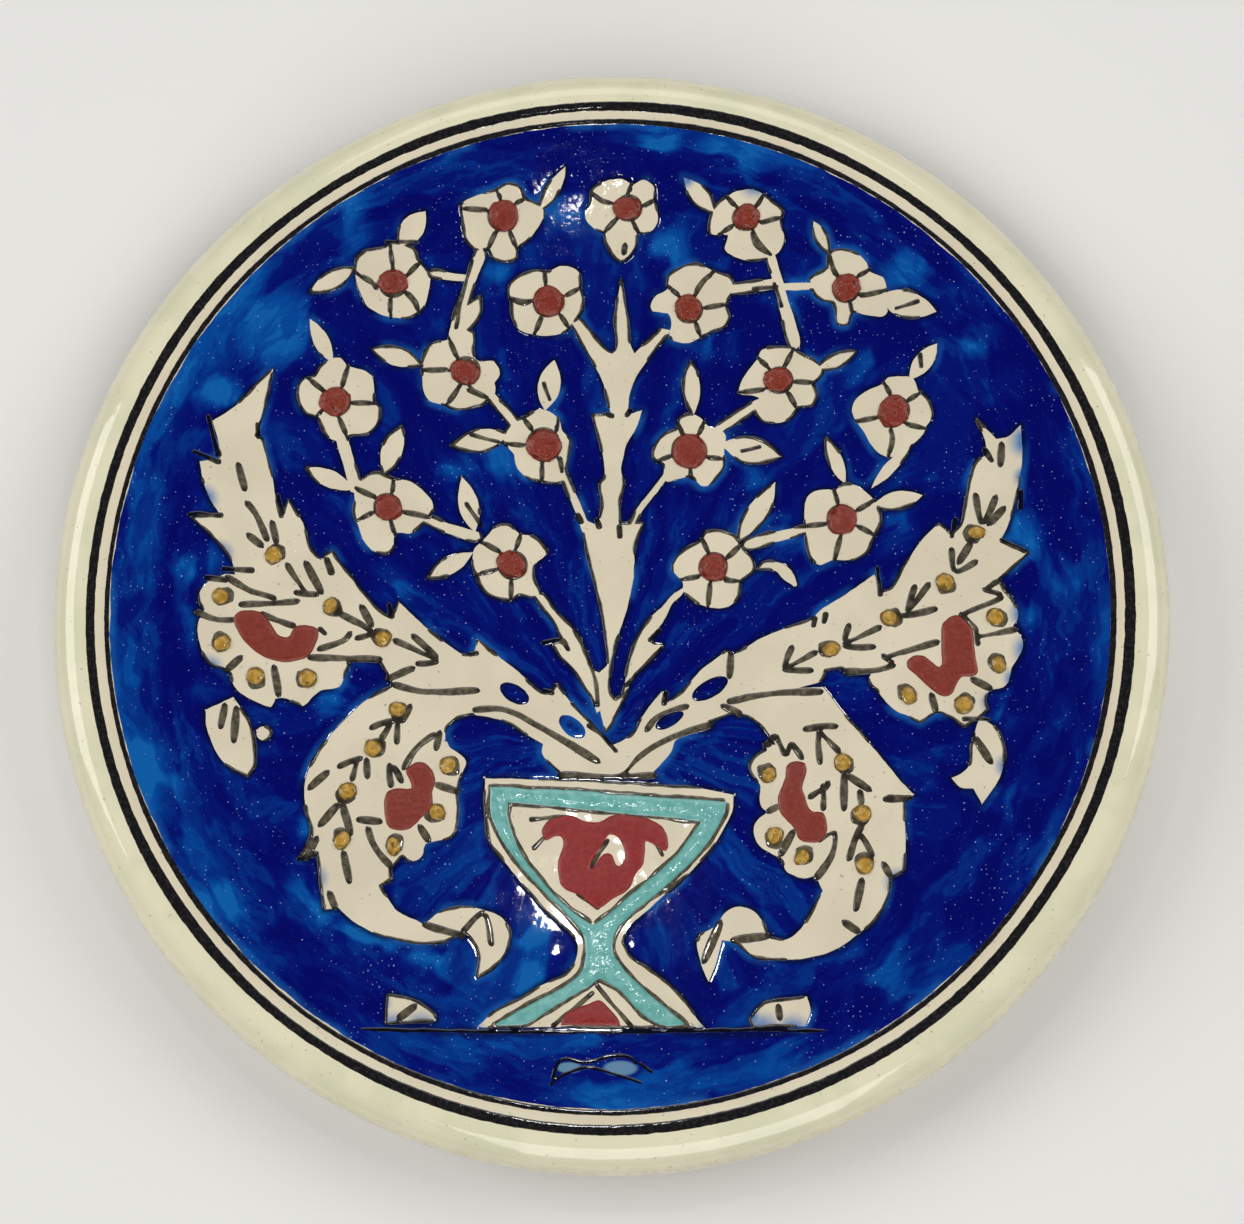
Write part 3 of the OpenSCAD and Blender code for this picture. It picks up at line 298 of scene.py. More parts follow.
# Sizes of the section, in millimetres from the middle of the foot
plate_r = coat_high.x / mm
plate_h = coat_high.z / mm
bare_z = coat_low.z / mm
well_top = well_high.z / mm
coat_t = 0.6
lip_r = 7.5
foot_out = 68.6
foot_in = 60.4
foot_taper = 0.8
shoulder_rise = 1.5
under_run = 20
uneven_from, uneven_to = 112, 118
clay_gap = 0.02
lip_centre = np.array([plate_r - lip_r, plate_h - lip_r])
well_z = well_top - coat_t
shoulder = np.array([foot_out, well_z + shoulder_rise])
under_aim = np.array([plate_r + under_run, lip_centre[1]])


def under_lip():
    """Angle on the lip's circle, in degrees, where the straight underside meets it."""
    turns = np.radians(np.linspace(-80, 0, 801))
    edge = lip_centre + lip_r * np.column_stack([np.cos(turns), np.sin(turns)])
    slope = (under_aim - shoulder)[1] / (under_aim - shoulder)[0]
    above = edge[:, 1] - shoulder[1] - slope * (edge[:, 0] - shoulder[0])
    return np.degrees(turns[np.argmax(above > 0)])


def dish_line(count=240):
    """Section of the dish from its edge to its middle."""
    reach = np.linspace(lip_centre[0] + 0.5, 0, count)
    return np.column_stack([reach, ball_z / mm - np.sqrt((ball_r / mm) ** 2 - reach ** 2)])


lip = arc(lip_centre, lip_r, start=under_lip(), end=86, count=60)
outside = eased(
    np.vstack([[[foot_out - foot_taper, bare_z], shoulder], lip, dish_line()]), spread=0.9)
outside[-1, 0] = 0
outside = thin_out(outside)
lining = inset(outside, coat_t)
lining[-1, 0] = 0
lining[0, 1] = bare_z


def section_mesh(points):
    """A closed section as a ring of points in the plane of X and Z, in metres."""
    mesh = bpy.data.meshes.new("section")
    ring = np.vstack([points, points[:1]])
    mesh.from_pydata([(x * mm, 0, z * mm) for x, z in ring], [], [])
    return mesh


def turned(name, points, turns, uneven, material):
    """A piece made by turning a closed section round the plate's axis, its faces outwards."""
    piece = worked(name, section_mesh(points), THROWN, {
        "Points": len(points) + 1, "Turn": turns, "Rim from": uneven_from * mm,
        "Rim to": uneven_to * mm, "Uneven": uneven * mm, "Material": material})
    bm = bmesh.new()
    bm.from_mesh(piece.data)
    bmesh.ops.dissolve_degenerate(bm, dist=1e-7, edges=bm.edges)
    bmesh.ops.recalc_face_normals(bm, faces=bm.faces)
    bm.to_mesh(piece.data)
    bm.free()
    return piece


THROWN = thrown_tree()
foot_radii = [v.co.xy.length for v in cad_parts["clay_body"].data.vertices if v.co.z < 1e-5]
clay_face = inset(outside, coat_t + clay_gap)[::-1]
clay_face[0, 0] = 0
foot_ring = eased([
    clay_face[-1], [max(foot_radii) / mm, 0], [min(foot_radii) / mm, 0],
    [foot_in + coat_t + clay_gap, well_top + clay_gap], [0, well_top + clay_gap]], spread=0.5)
foot_ring[-1, 0] = 0


def bare_clay():
    """Buff clay, slightly sandy, with darker grains and a dry, uneven surface."""
    material, shader, place = new_material("bare_clay")
    sand = place.noise(1.6, 6, 0.7)
    grains = place.noise(5.0, 2).smooth(0.66, 0.72)
    tone = blend(sand.smooth(0.3, 0.7), linear(188, 158, 124), linear(214, 188, 154))
    plug(shader, "Base Color", blend(grains * 0.6, tone, linear(120, 92, 66)))
    plug(shader, "Roughness", 0.75 + 0.2 * sand)
    bump = sand.make("ShaderNodeBump", {}, {"Height": sand, "Strength": 0.35, "Distance": 0.2 * mm})
    plug(shader, "Normal", bump)
    return material


clay = turned(
    "thrown_clay", np.vstack([clay_face[:-1], thin_out(foot_ring)]),
    turns=240, uneven=0.25, material=bare_clay())
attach(clay, "root")
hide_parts("clay_body")

# Cream coat
# A skin of white slip under clear glaze covers the face, the lip and the back, and stops above the foot.
# It pools a little greenish on the lip, shows fine dark specks, and the blue bleeds into it in places.

# Places in the blue from which it bleeds over the edge of the white: place and reach
blue_bleeds = [
    (89.5, -12.5, 5), (88.5, -4.5, 4), (81.5, -23.5, 3.5), (86, -18.5, 3), (83.6, -37, 3.2),
    (90.5, 33, 5), (90, 25, 3.4), (-85.5, -16, 4.5), (-84, 9.5, 4), (-88, 21.5, 4.5), (-83, 46, 3),
    (-61.5, -60, 4), (60.5, -61, 4), (-44, -91, 5), (-38, -91, 5), (-46.6, -85.5, 3), (32, -91.4, 5.4),
    (38, -91.4, 5), (29.5, -88.6, 3), (-28.5, -92, 5), (21.5, -92, 4.6), (33, 93, 5), (17.5, 94, 3)]

# Beads of thicker glaze, where the light catches: place and size
glaze_beads = [
    (-20, 91.5, 3), (-8, 95, 2.6), (6.5, 94, 2.8), (-11, -76, 4), (5.5, -74.5, 4), (9, -78.5, 2.4),
    (-3, -62, 4.5), (-9, -45, 2.6), (-4, -46, 2.8), (18, -47, 2.4), (-56, 39, 3), (-57, 30, 3), (37, 42, 3),
    (8, -21, 3), (33, 89, 3)]


def glaze_height(place):
    """Height in millimetres of the glaze's soft waves, beads and fine orange peel."""
    level = place.flat()
    height = place.noise(0.07, 2) * 0.14 + place.noise(0.3, 2) * 0.03 + place.noise(1.6, 2) * 0.003
    for x, y, size in glaze_beads:
        away = level.distance(x, y) / size
        bell = away * away * -1
        height = height + 0.05 * size * bell.math("EXPONENT", bell)
    return height


def glazed(shader, place, colour, extra=None):
    """Finishes a glazed material: its colour under a clear gloss with soft waves and tiny pits."""
    plug(shader, "Base Color", colour)
    pits = place.noise(2.4, 1).smooth(0.74, 0.8)
    plug(shader, "Roughness", 0.03 + 0.03 * place.noise(0.4, 3) + 0.2 * pits)
    height = glaze_height(place) - 0.02 * pits
    if extra is not None:
        height = height + extra
    bump = place.make("ShaderNodeBump", {}, {"Height": height, "Strength": 1.0, "Distance": mm})
    plug(shader, "Normal", bump)


def largest(wires):
    """The largest of several wires."""
    most = wires[0]
    for wire in wires[1:]:
        most = most.math("MAXIMUM", most, wire)
    return most


def cream_glaze():
    """Cloudy cream, greener on the lip and browner at its edge, with painted shade on the underside, dark
    specks and bled blue.
    """
    material, shader, place = new_material("cream_glaze")
    part = place.parts()
    level = place.flat()
    reach = level.length()
    cloud = place.noise(0.06, 4).smooth(0.35, 0.65)
    slip = blend(cloud, linear(221, 210, 185), linear(213, 202, 177))
    pooled = blend(place.noise(0.09, 3).smooth(0.4, 0.62), linear(227, 221, 191), linear(218, 215, 184))
    tone = blend(reach.smooth(107, 112), slip, pooled)
    edge = reach.smooth(117.6, 119.6) * place.noise(0.5, 3).smooth(0.35, 0.6)
    tone = blend(edge * 0.4, tone, linear(196, 172, 146))
    # Painted shade: the cream is darker below the face, on the lower lip and the back
    under = (part.out("Z") * -1).smooth(-19, -14) * reach.smooth(90, 118)
    tone = blend(under * 0.35, tone, linear(214, 200, 176))
    wash = largest([1 - level.distance(x, y).smooth(size * 0.2, size) for x, y, size in blue_bleeds])
    on_face = part.out("Z").smooth(14.6, 15.2) * reach.math("LESS_THAN", reach, 107.5)
    wash = wash * on_face * (0.7 + 0.5 * place.noise(0.6, 3))
    tone = blend(wash.math("MINIMUM", wash, 0.95), tone, linear(56, 114, 172))
    specks = place.noise(1.1, 1).smooth(0.735, 0.775)
    tone = blend(specks * 0.5, tone, linear(120, 104, 82))
    glazed(shader, place, tone)
    return material


coat_skin = cream_glaze()
coat = turned(
    "cream_coat", np.vstack([outside, lining[::-1]]), turns=360, uneven=0.3, material=coat_skin)
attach(coat, "root")
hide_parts("white_coat")

# Glaze inside the foot
# The same slip and glaze line the well under the plate. They are poured in and wiped off the foot,
# so they stop where its bare clay begins.
well_skin = eased([[0, well_z], [foot_in, well_z], [foot_in + foot_taper, bare_z]], spread=0.8)
well_skin[0, 0] = 0
well_skin = thin_out(well_skin)
well_back = inset(well_skin, coat_t)
well_back[0, 0] = 0
well_back[-1, 1] = bare_z
well = turned(
    "foot_well_glaze", np.vstack([well_skin, well_back[::-1]]), turns=240, uneven=0, material=coat_skin)
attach(well, "root")
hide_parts("foot_well_coat")

# Cobalt ground
# The blue is brushed on round the white motifs in short overlapping dabs, so its tone is patchy.
# It thins to a pale fringe where the brush turns at an edge.

# An outline with less area than this, in square millimetres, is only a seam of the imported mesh
smallest_loop = 0.5

# How far the underside of a painted layer lies in the coat, in millimetres
bed = 0.04


def merged(node):
    """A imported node's mesh with its loose triangles joined."""
    bm = bmesh.new()
    bm.from_mesh(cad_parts[node].data)
    bmesh.ops.remove_doubles(bm, verts=bm.verts, dist=2e-6)
    return bm


def signed_area(loop):
    """Area in a closed outline: less than 0 where it runs clockwise, as round a hole."""
    ahead = np.roll(loop, -1, axis=0)
    return (loop[:, 0] * ahead[:, 1] - loop[:, 1] * ahead[:, 0]).sum() / 2


def outline_loops(node):
    """Plan outlines, in millimetres, of an imported painted layer: where its upper faces meet its walls."""
    bm = merged(node)
    bmesh.ops.dissolve_degenerate(bm, dist=1e-6, edges=bm.edges)
    bm.normal_update()
    top = [f for f in bm.faces if f.normal.z > 0.5]
    upper = set(top)
    after = {}
    for face in top:
        for corner in face.loops:
            if sum(f in upper for f in corner.edge.link_faces) == 1:
                after.setdefault(corner.vert, []).append(corner.link_loop_next.vert)
    loops = []
    while after:
        here = next(iter(after))
        ring = []
        while here in after:
            ring.append(tuple(here.co.xy / mm))
            ways = after[here]
            following = ways.pop()
            if not ways:
                del after[here]
            here = following
        ring = np.array(ring)
        if abs(signed_area(ring)) > smallest_loop:
            loops.append(ring)
    bm.free()
    return loops


def needed(loop, tolerance=0.02):
    """The points of a closed outline that its shape needs."""
    return thin_out(np.vstack([loop, loop[:1]]), tolerance, math.inf)[:-1]


def curve_through(points, closed, step):
    """A smooth curve through points, a point every step or so, without its last point."""
    points = np.asarray(points, float)
    ring = np.vstack([points, points[:1]]) if closed else points
    gaps = np.sqrt(np.hypot(*np.diff(ring, axis=0).T))
    slopes = np.diff(ring, axis=0) / gaps[:, None]
    if closed:
        before, behind = slopes[-1:], slopes[:1]
        gap_before, gap_behind = gaps[-1:], gaps[:1]
    else:
        before, behind = slopes[:1], slopes[-1:]
        gap_before, gap_behind = gaps[:1], gaps[-1:]
    left = np.vstack([before, slopes])
    right = np.vstack([slopes, behind])
    left_gap = np.concatenate([gap_before, gaps])[:, None]
    right_gap = np.concatenate([gaps, gap_behind])[:, None]
    tangents = (left * right_gap + right * left_gap) / (left_gap + right_gap)
    curve = []
    for i, gap in enumerate(gaps):
        count = max(1, round(np.hypot(*(ring[i + 1] - ring[i])) / step))
        t = (np.arange(count) / count)[:, None]
        curve.append(
            (1 - t * t * (3 - 2 * t)) * ring[i] + t * (1 - t) * (1 - t) * gap * tangents[i]
            + t * t * (3 - 2 * t) * ring[i + 1] - t * t * (1 - t) * gap * tangents[i + 1])
    return np.vstack(curve)


# Unless it is given a seed, vector noise follows the clock
noise.seed_set(2)


def unsteady(points, amount, size):
    """The points moved as by an unsteady hand: the same place always moves the same way."""
    moved = [noise.noise_vector(Vector((x / size, y / size, 4.7))) for x, y in points]
    return points + amount * np.array([m[:2] for m in moved])


def bends(points):
    """How far, in degrees, a closed outline turns at each of its points."""
    into = points - np.roll(points, 1, axis=0)
    out = np.roll(points, -1, axis=0) - points
    cross = into[:, 0] * out[:, 1] - into[:, 1] * out[:, 0]
    return np.degrees(np.abs(np.arctan2(cross, (into * out).sum(1))))


def hand_drawn(loop, corner=48, step=0.4, amount=0.22, size=5.0):
    """A closed outline as a hand draws it: curves through the shallow points and breaks at sharp ones."""
    points = needed(loop)
    breaks = list(np.flatnonzero(bends(points) > corner))
    if not breaks:
        line = curve_through(points, True, step)
    else:
        points = np.roll(points, -breaks[0], axis=0)
        stops = [b - breaks[0] for b in breaks] + [len(points)]
        ring = np.vstack([points, points[:1]])
        line = np.vstack([curve_through(ring[a:b + 1], False, step) for a, b in zip(stops, stops[1:])])
    return unsteady(unsteady(line, amount, size), amount * 0.4, size * 0.25)


def near_edge(loops):
    """A finder of the nearest point on any outline."""
    points = np.vstack(loops)
    tree = kdtree.KDTree(len(points))
    for i, (x, y) in enumerate(points):
        tree.insert((x, y, 0), i)
    tree.balance()
    return tree


def hex_points(loops, spacing, clear):
    """Points on a grid of triangles over the outlines' box, at least clear from every outline."""
    points = np.vstack(loops)
    low, high = points.min(0), points.max(0)
    finder = near_edge(loops)
    made = []
    for row, y in enumerate(np.arange(low[1], high[1], spacing * 0.866)):
        for x in np.arange(low[0] + (row % 2) * spacing / 2, high[0], spacing):
            if finder.find((x, y, 0))[2] > clear:
                made.append((x, y))
    return made


def inwards(loop):
    """Unit ways to the left of a closed outline, at each of its points."""
    way = np.roll(loop, -1, axis=0) - np.roll(loop, 1, axis=0)
    return left_of(way / np.maximum(np.hypot(way[:, 0], way[:, 1]), 1e-9)[:, None])


def beside(loops, rows):
    """Points in rows at these distances inside outlines that run with the paint on their left."""
    finder = near_edge(loops)
    made = []
    for depth in rows:
        for loop in loops:
            for x, y in loop + depth * inwards(loop):
                if finder.find((x, y, 0))[2] > 0.7 * depth:
                    made.append((x, y))
    return made


def sides_of(ring):
    """Each point of a ring with the next one."""
    return zip(ring, ring[1:] + ring[:1])


def triangles(points, edges):
    """Triangles over a plan wherever directed edges, with the paint on their left, wind round it.
    Given back as (points, triangles, the given points that each point stands for)."""
    at, lines, found, stands_for, drawn, _ = delaunay_2d_cdt(
        [Vector(p) for p in points], edges, [], 0, 1e-5)
    step = {}
    for (a, b), given in zip(lines, drawn):
        for start, end in (edges[g] for g in given):
            turn = 1 if (Vector(points[end]) - Vector(points[start])).dot(at[b] - at[a]) > 0 else -1
            step[a, b] = step.get((a, b), 0) + turn
            step[b, a] = step.get((b, a), 0) - turn
    owner = {pair: i for i, face in enumerate(found) for pair in sides_of(face)}
    winds = {i: step.get((a, b), 0) for (a, b), i in owner.items() if (b, a) not in owner}
    waiting = list(winds)
    while waiting:
        here = waiting.pop()
        for a, b in sides_of(found[here]):
            other = owner.get((b, a), here)
            if other not in winds:
                winds[other] = winds[here] - step.get((a, b), 0)
                waiting.append(other)
    return at, [face for i, face in enumerate(found) if winds[i] > 0], stands_for


def hold(mesh, name, numbers):
    """Stores a number for each point of a mesh."""
    mesh.attributes.new(name, "FLOAT", "POINT").data.foreach_set("value", numbers)


def paint_mesh(loops, rows, spacing=None, floor_spacing=6.0):
    """A flat closed layer over outlines: fine triangles above, coarse ones below, joined at the rim.
    Outlines that overlap run together, and one that runs the other way inside another is a hole."""
    points = [tuple(p) for p in np.vstack(loops)]
    ends = np.cumsum([len(loop) for loop in loops])
    rings = [list(range(end - len(loop), end)) for loop, end in zip(loops, ends)]
    points += beside(loops, rows)
    if spacing:
        points += hex_points(loops, spacing, max(rows) + 0.5 * spacing)
    edges = [pair for ring in rings for pair in sides_of(ring)]
    above, top_faces, _ = triangles(points, edges)
    sides = {pair for face in top_faces for pair in sides_of(face)}
    rim = [(a, b) for a, b in sides if (b, a) not in sides]
    rim_points = sorted({i for pair in rim for i in pair})

    # The layer below shares the rim's points
    number = {old: new for new, old in enumerate(rim_points)}
    floor = [tuple(above[i]) for i in rim_points]
    grid = hex_points([np.array(floor)], floor_spacing, 0.8)
    below, floor_faces, stands_for = triangles(floor + grid, [(number[a], number[b]) for a, b in rim])
    place = []
    extra = []
    for point, given in zip(below, stands_for):
        on_rim = [g for g in given if g < len(rim_points)]
        if on_rim:
            place.append(rim_points[on_rim[0]])
        else:
            place.append(len(above) + len(extra))
            extra.append(point)
    spots = [Vector(p) for p in above] + extra
    upper = [1.0] * len(above) + [0.0] * len(extra)
    faces = [[place[i] for i in reversed(face)] for face in floor_faces]

    # Where a face or an inner edge above would lie in the same points as one below, it gets a new point
    doubled = {frozenset(face) for face in faces}
    shared = {frozenset(pair) for face in faces for pair in sides_of(face)}
    shared -= {frozenset(pair) for pair in rim}
    middles = {}
    for face in top_faces:
        ring = []
        for a, b in sides_of(face):
            side = frozenset((a, b))
            if side in shared and side not in middles:
                middles[side] = len(spots)
                spots.append((spots[a] + spots[b]) / 2)
                upper.append(1.0)
            ring += [a, middles[side]] if side in shared else [a]
        if len(ring) > 3 or frozenset(face) in doubled:
            faces += [[a, b, len(spots)] for a, b in sides_of(ring)]
            spots.append(sum((spots[i] for i in face), Vector((0, 0))) / 3)
            upper.append(1.0)
        else:
            faces.append(face)

    used = sorted({i for face in faces for i in face})
    kept = {old: new for new, old in enumerate(used)}
    mesh = bpy.data.meshes.new("plan")
    mesh.from_pydata(
        [(spots[i][0] * mm, spots[i][1] * mm, 0) for i in used], [],
        [[kept[i] for i in face] for face in faces])
    hold(mesh, "upper", [upper[i] for i in used])
    marked = {frozenset((kept[a], kept[b])) for a, b in rim}
    flags = [frozenset(e.vertices) in marked for e in mesh.edges]
    mesh.attributes.new("rim", "BOOLEAN", "EDGE").data.foreach_set("value", flags)
    return mesh


def dish_height(x, y):
    """Height of the dish, as a wire, at a place in metres."""
    under = ball_r ** 2 - x * x - y * y
    return ball_z - under.math("SQRT", under)


def paint_tree():
    """Lays a flat layer on the dish and raises it from its rim, rounded over soft, up to lift."""
    tree, given = grow("paint_layer", {
        "Lift": "Float", "Soft": "Float", "Uneven": "Float", "Sink": "Float", "Material": "Material"})
    start = given["Geometry"]
    is_rim = start.held("rim", "BOOLEAN")
    upper = start.held("upper")
    rim = start.make("GeometryNodeSeparateGeometry", {"domain": "EDGE"}, {
        "Geometry": start, "Selection": is_rim})
    away = start.make("GeometryNodeProximity", {"target_element": "EDGES"}, {0: rim}, out="Distance")
    marked = start.make("GeometryNodeStoreNamedAttribute", {"data_type": "FLOAT", "domain": "POINT"}, {
        "Geometry": start, "Name": "from_edge", "Value": away / mm})
    away = start.held("from_edge") * mm
    place = start.make("GeometryNodeInputPosition")
    part = place.parts()
    falling = away / given["Soft"] * -1
    rise = 1 - falling.math("EXPONENT", falling)
    lumps = 1 + given["Uneven"] * (place.noise(420, 3) - 0.5)
    level = dish_height(part.out("X"), part.out("Y"))
    top = upper * given["Lift"] * rise * lumps - (1 - upper) * given["Sink"] * rise
    laid = start.make("ShaderNodeCombineXYZ", {}, {
        "X": part.out("X"), "Y": part.out("Y"), "Z": level + top})
    geometry = start.make("GeometryNodeSetPosition", {}, {"Geometry": marked, "Position": laid})
    geometry = start.make("GeometryNodeSetShadeSmooth", {"domain": "FACE"}, {"Geometry": geometry})
    geometry = start.make("GeometryNodeSetShadeSmooth", {"domain": "EDGE"}, {
        "Geometry": geometry, "Selection": is_rim, "Shade Smooth": False})
    close_tree(geometry, given["Material"])
    return tree


PAINT = paint_tree()


def painted(name, mesh, lift, soft, uneven, material):
    """A painted piece: a flat layer laid on the dish, with its height in millimetres."""
    return worked(name, mesh, PAINT, {
        "Lift": lift * mm, "Soft": soft * mm, "Uneven": uneven, "Sink": bed * mm, "Material": material})


# Laps where the blue is thin: place, reach and how thin
light_laps = [
    (0, -70, 44, 0.24), (6, -98, 20, 0.26), (-72, 60, 9, 0.5), (-84, 45, 5, 0.5), (-89, 34, 4, 0.5),
    (-87, 21, 4, 0.5), (-89, 8, 6, 0.5), (-88, -7, 6, 0.5), (-85, -20, 4, 0.5), (-98, -40, 9, 0.8),
    (-62, -49, 4, 0.6), (-62, -65, 6, 0.55), (-80, -66, 5, 0.45), (-72, -78, 6, 0.5), (-50, -74, 9, 0.6),
    (-38, -79, 7, 0.55), (-17, -70, 6, 0.7), (-16, -81, 5, 0.6), (12, -74, 7, 0.65), (32, -96, 10, 0.14),
    (54, -77, 8, 0.4), (-8, 88, 6, 0.55), (14, 78, 5, 0.5), (-25, 75, 4, 0.5), (28, 99, 8, 0.5),
    (12, 102, 5, 0.5), (88, 12, 6, 0.55), (88, -4, 3, 0.5), (84, -28, 3, 0.5), (31, 27, 4, 0.45),
    (62, 14, 5, 0.4), (56, 50, 4, 0.4), (-33, 30, 4, 0.45), (-24, 31, 4, 0.45), (-47, 4, 6, 0.45),
    (26, 56, 5, 0.4), (-60, -22, 4, 0.45), (-60, 84, 9, 0.3), (84, -42, 7, 0.3), (97, 4, 6, 0.35),
    (66, 72, 5, 0.45), (74, 64, 5, 0.5), (81, 56, 5, 0.5), (88, 46, 5, 0.45)]

# Height in the plan of the line that the vase stands on, and where the stems spring from
ground_y = -90.9
stems_from = (0, -28, 0)

# The two pale fields of the mark below the ground line: middle, half width and half height
mark_fills = [(-7.6, -98.2, 2.6, 1.1), (2.8, -98.3, 3.5, 1.5)]


def brushed(level, start, across, along):
    """Places for noise that follows the brush: across counts per radian round start, and along per
    millimetre out from it, so that the marks are long where the count is low."""
    way = level.vector("SUBTRACT", {0: level, 1: start})
    spread = level.vector("SCALE", {0: level.vector("NORMALIZE", {0: way}), 3: across})
    far = level.make("ShaderNodeCombineXYZ", {}, {"Z": way.length() * along})
    return level.vector("ADD", {0: spread, 1: far})


def cobalt():
    """Cobalt blue in overlapping strokes, pale laps where it is thin, and a pale fringe along its edge."""
    material, shader, place = new_material("cobalt_blue")
    level = place.flat()
    away = place.marked("from_edge")
    drift = level.vector("SUBTRACT", {0: level.noise(0.11, 2, out=1), 1: (0.5, 0.5, 0.5)})
    bent = level.vector("ADD", {0: level, 1: drift.vector("SCALE", {0: drift, 3: 5.0})})

    # Brush marks run round the rim, and up the stems farther in
    outer = bent.length().smooth(82, 92)
    round_rim = brushed(bent, (0, 0, 0), 33, 1.0)
    up_stems = brushed(bent, stems_from, 60, 0.33)
    dabs = outer * round_rim.noise(0.13, 1) + (1 - outer) * up_stems.noise(0.11, 1)
    short = outer * round_rim.noise(0.33, 2) + (1 - outer) * up_stems.noise(0.3, 2)
    hairs = outer * round_rim.noise(1.1, 3, 0.6) + (1 - outer) * up_stems.noise(1.0, 3, 0.6)
    strokes = dabs.smooth(0.46, 0.55)

    # How thin the blue is, and its tone from that
    lap = largest([
        share * bent.distance(x, y).smooth(size * 1.3, size * 0.4) for x, y, size, share in light_laps])
    part = bent.parts()
    below = part.out("Y").smooth(ground_y + 0.6, ground_y - 0.6)
    far = level.length()
    rim = far.smooth(100, 105.5) * bent.noise(0.03, 1).smooth(0.4, 0.6)
    left = far.smooth(93, 101) * part.out("X").smooth(-40, -88)
    thin = 0.3 * strokes + 0.2 * short.smooth(0.45, 0.58) + 0.5 * (hairs - 0.5)
    thin = thin + lap * (0.6 + 0.6 * strokes) + 0.12 * below + 0.3 * rim + 0.3 * left
    tone = blend(thin.smooth(0.1, 0.36), linear(0, 5, 98), linear(0, 17, 110))
    tone = blend(thin.smooth(0.34, 0.6), tone, linear(1, 42, 126))
    tone = blend(thin.smooth(0.58, 0.9), tone, linear(2, 68, 149))
    tone = blend(thin.smooth(0.88, 1.15), tone, linear(12, 92, 166))

    # Along its edge the blue is pale in some places, and dark with ink in others
    inside = 1 - far.smooth(103, 105)
    inked = level.noise(0.05, 2).smooth(0.38, 0.5)
    fringe = away.smooth(2.0, 0.2) * (1 - inked) * (0.4 + hairs)
    tone = blend(fringe * 0.7, tone, linear(24, 92, 168))
    tone = blend(away.smooth(0.25, 0.0) * (1 - inked) * 0.6, tone, linear(70, 116, 176))
    tone = blend(away.smooth(1.5, 0.15) * inked * inside * 0.85, tone, linear(2, 9, 44))

    # The ground line, the mark below it, and pale specks: pinholes in the glaze, and painted glints of
    # light
    line = part.out("Y") - ground_y
    line = line.math("ABSOLUTE", line).smooth(1.5, 0.3) * (far * -1).smooth(-102, -98)
    tone = blend(line * 0.7, tone, linear(2, 10, 60))
    for x, y, across, along in mark_fills:
        off = level.vector("MULTIPLY_ADD", {
            0: level, 1: (1 / across, 1 / along, 0), 2: (-x / across, -y / along, 0)})
        tone = blend(off.length().smooth(1.15, 0.75) * 0.85, tone, linear(104, 144, 172))
    # Pale specks, partly pinholes in the glaze and partly painted glints, denser in patches
    pinholes_and_glints = level.noise(0.07, 2).smooth(0.4, 0.7)
    specks = level.noise(2.1, 0).smooth(0.82 - 0.05 * pinholes_and_glints, 0.84 - 0.05 * pinholes_and_glints)
    tone = blend(specks * 0.7, tone, linear(150, 178, 214))
    glazed(shader, place, tone)
    return material


cobalt_loops = [hand_drawn(loop) for loop in outline_loops("cobalt_ground")]
ground = painted(
    "cobalt_brushwork", paint_mesh(cobalt_loops, rows=(0.15, 0.4, 0.9), spacing=1.05),
    lift=0.07, soft=0.25, uneven=0.3, material=cobalt())
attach(ground, "root")
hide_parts("cobalt_ground")

# Dark rings
# Two rings of black ink are drawn with a loaded brush while the plate turns on the wheel,
# so their edges and widths waver.


def ring_black():
    """Black ink, greyer where the brush ran dry, and thin along its edge, where the coat shows."""
    material, shader, place = new_material("ring_black")
    away = place.marked("from_edge")
    dry = place.noise(1.3, 4, 0.6)
    tone = blend(dry.smooth(0.4, 0.75), linear(20, 19, 22), linear(44, 42, 42))
    edge = (1 - away.smooth(0.0, 0.16)) * dry.smooth(0.35, 0.6)
    glazed(shader, place, blend(edge * 0.6, tone, linear(110, 102, 88)))
    return material


def sway(x, y, rate, seed):
    """A random number from -1 to 1, always the same at a place: it changes sooner at a higher rate."""
    return noise.noise(Vector((x * rate, y * rate, seed)))


def wavering(loop, amount, seed):
    """A ring's outline with its radius wavering slowly, and a little from point to point."""
    line = curve_through(needed(loop, 0.01), True, 0.4)
    moved = []
    for x, y in line:
        way = Vector((x, y)).normalized()
        slow = sway(way.x, way.y, 2.4, seed)
        quick = sway(x, y, 0.45, seed)
        fine = sway(x, y, 1.6, seed)
        moved.append((Vector((x, y)) + way * amount * (slow + 0.3 * quick + 0.16 * fine))[:])
    return np.array(moved)


ink = ring_black()
for name, node, waver in (("field_line_brush", "field_line", 0.35), ("rim_ring_brush", "rim_ring", 0.4)):
    loops = [wavering(loop, waver, seed) for seed, loop in enumerate(outline_loops(node), 3)]
    ring = painted(
        name, paint_mesh(loops, rows=(0.15, 0.4), spacing=0.7),
        lift=0.09, soft=0.2, uneven=0.3, material=ink)
    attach(ring, "root")
    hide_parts(node)

# Turquoise band of the vase
# The band is a thick copper colour laid on the coat with a full brush. It melts into the glaze,
# and stands up from the coat with round edges.


def turquoise():
    """Cloudy turquoise, a little deeper along its edge."""
    material, shader, place = new_material("turquoise")
    away = place.marked("from_edge")
    cloud = place.noise(0.5, 4).smooth(0.35, 0.65)
    tone = blend(cloud, linear(100, 164, 158), linear(120, 180, 174))
    tone = blend((1 - away.smooth(0.1, 0.8)) * 0.6, tone, linear(84, 150, 144))
    glazed(shader, place, tone, extra=0.12 * place.noise(0.9, 2))
    return material


band_loops = [hand_drawn(loop) for loop in outline_loops("vase_band")]
band = painted(
    "turquoise_band", paint_mesh(band_loops, rows=(0.15, 0.4, 0.8), spacing=0.6),
    lift=0.36, soft=0.5, uneven=0.35, material=turquoise())
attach(band, "root")
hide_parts("vase_band")

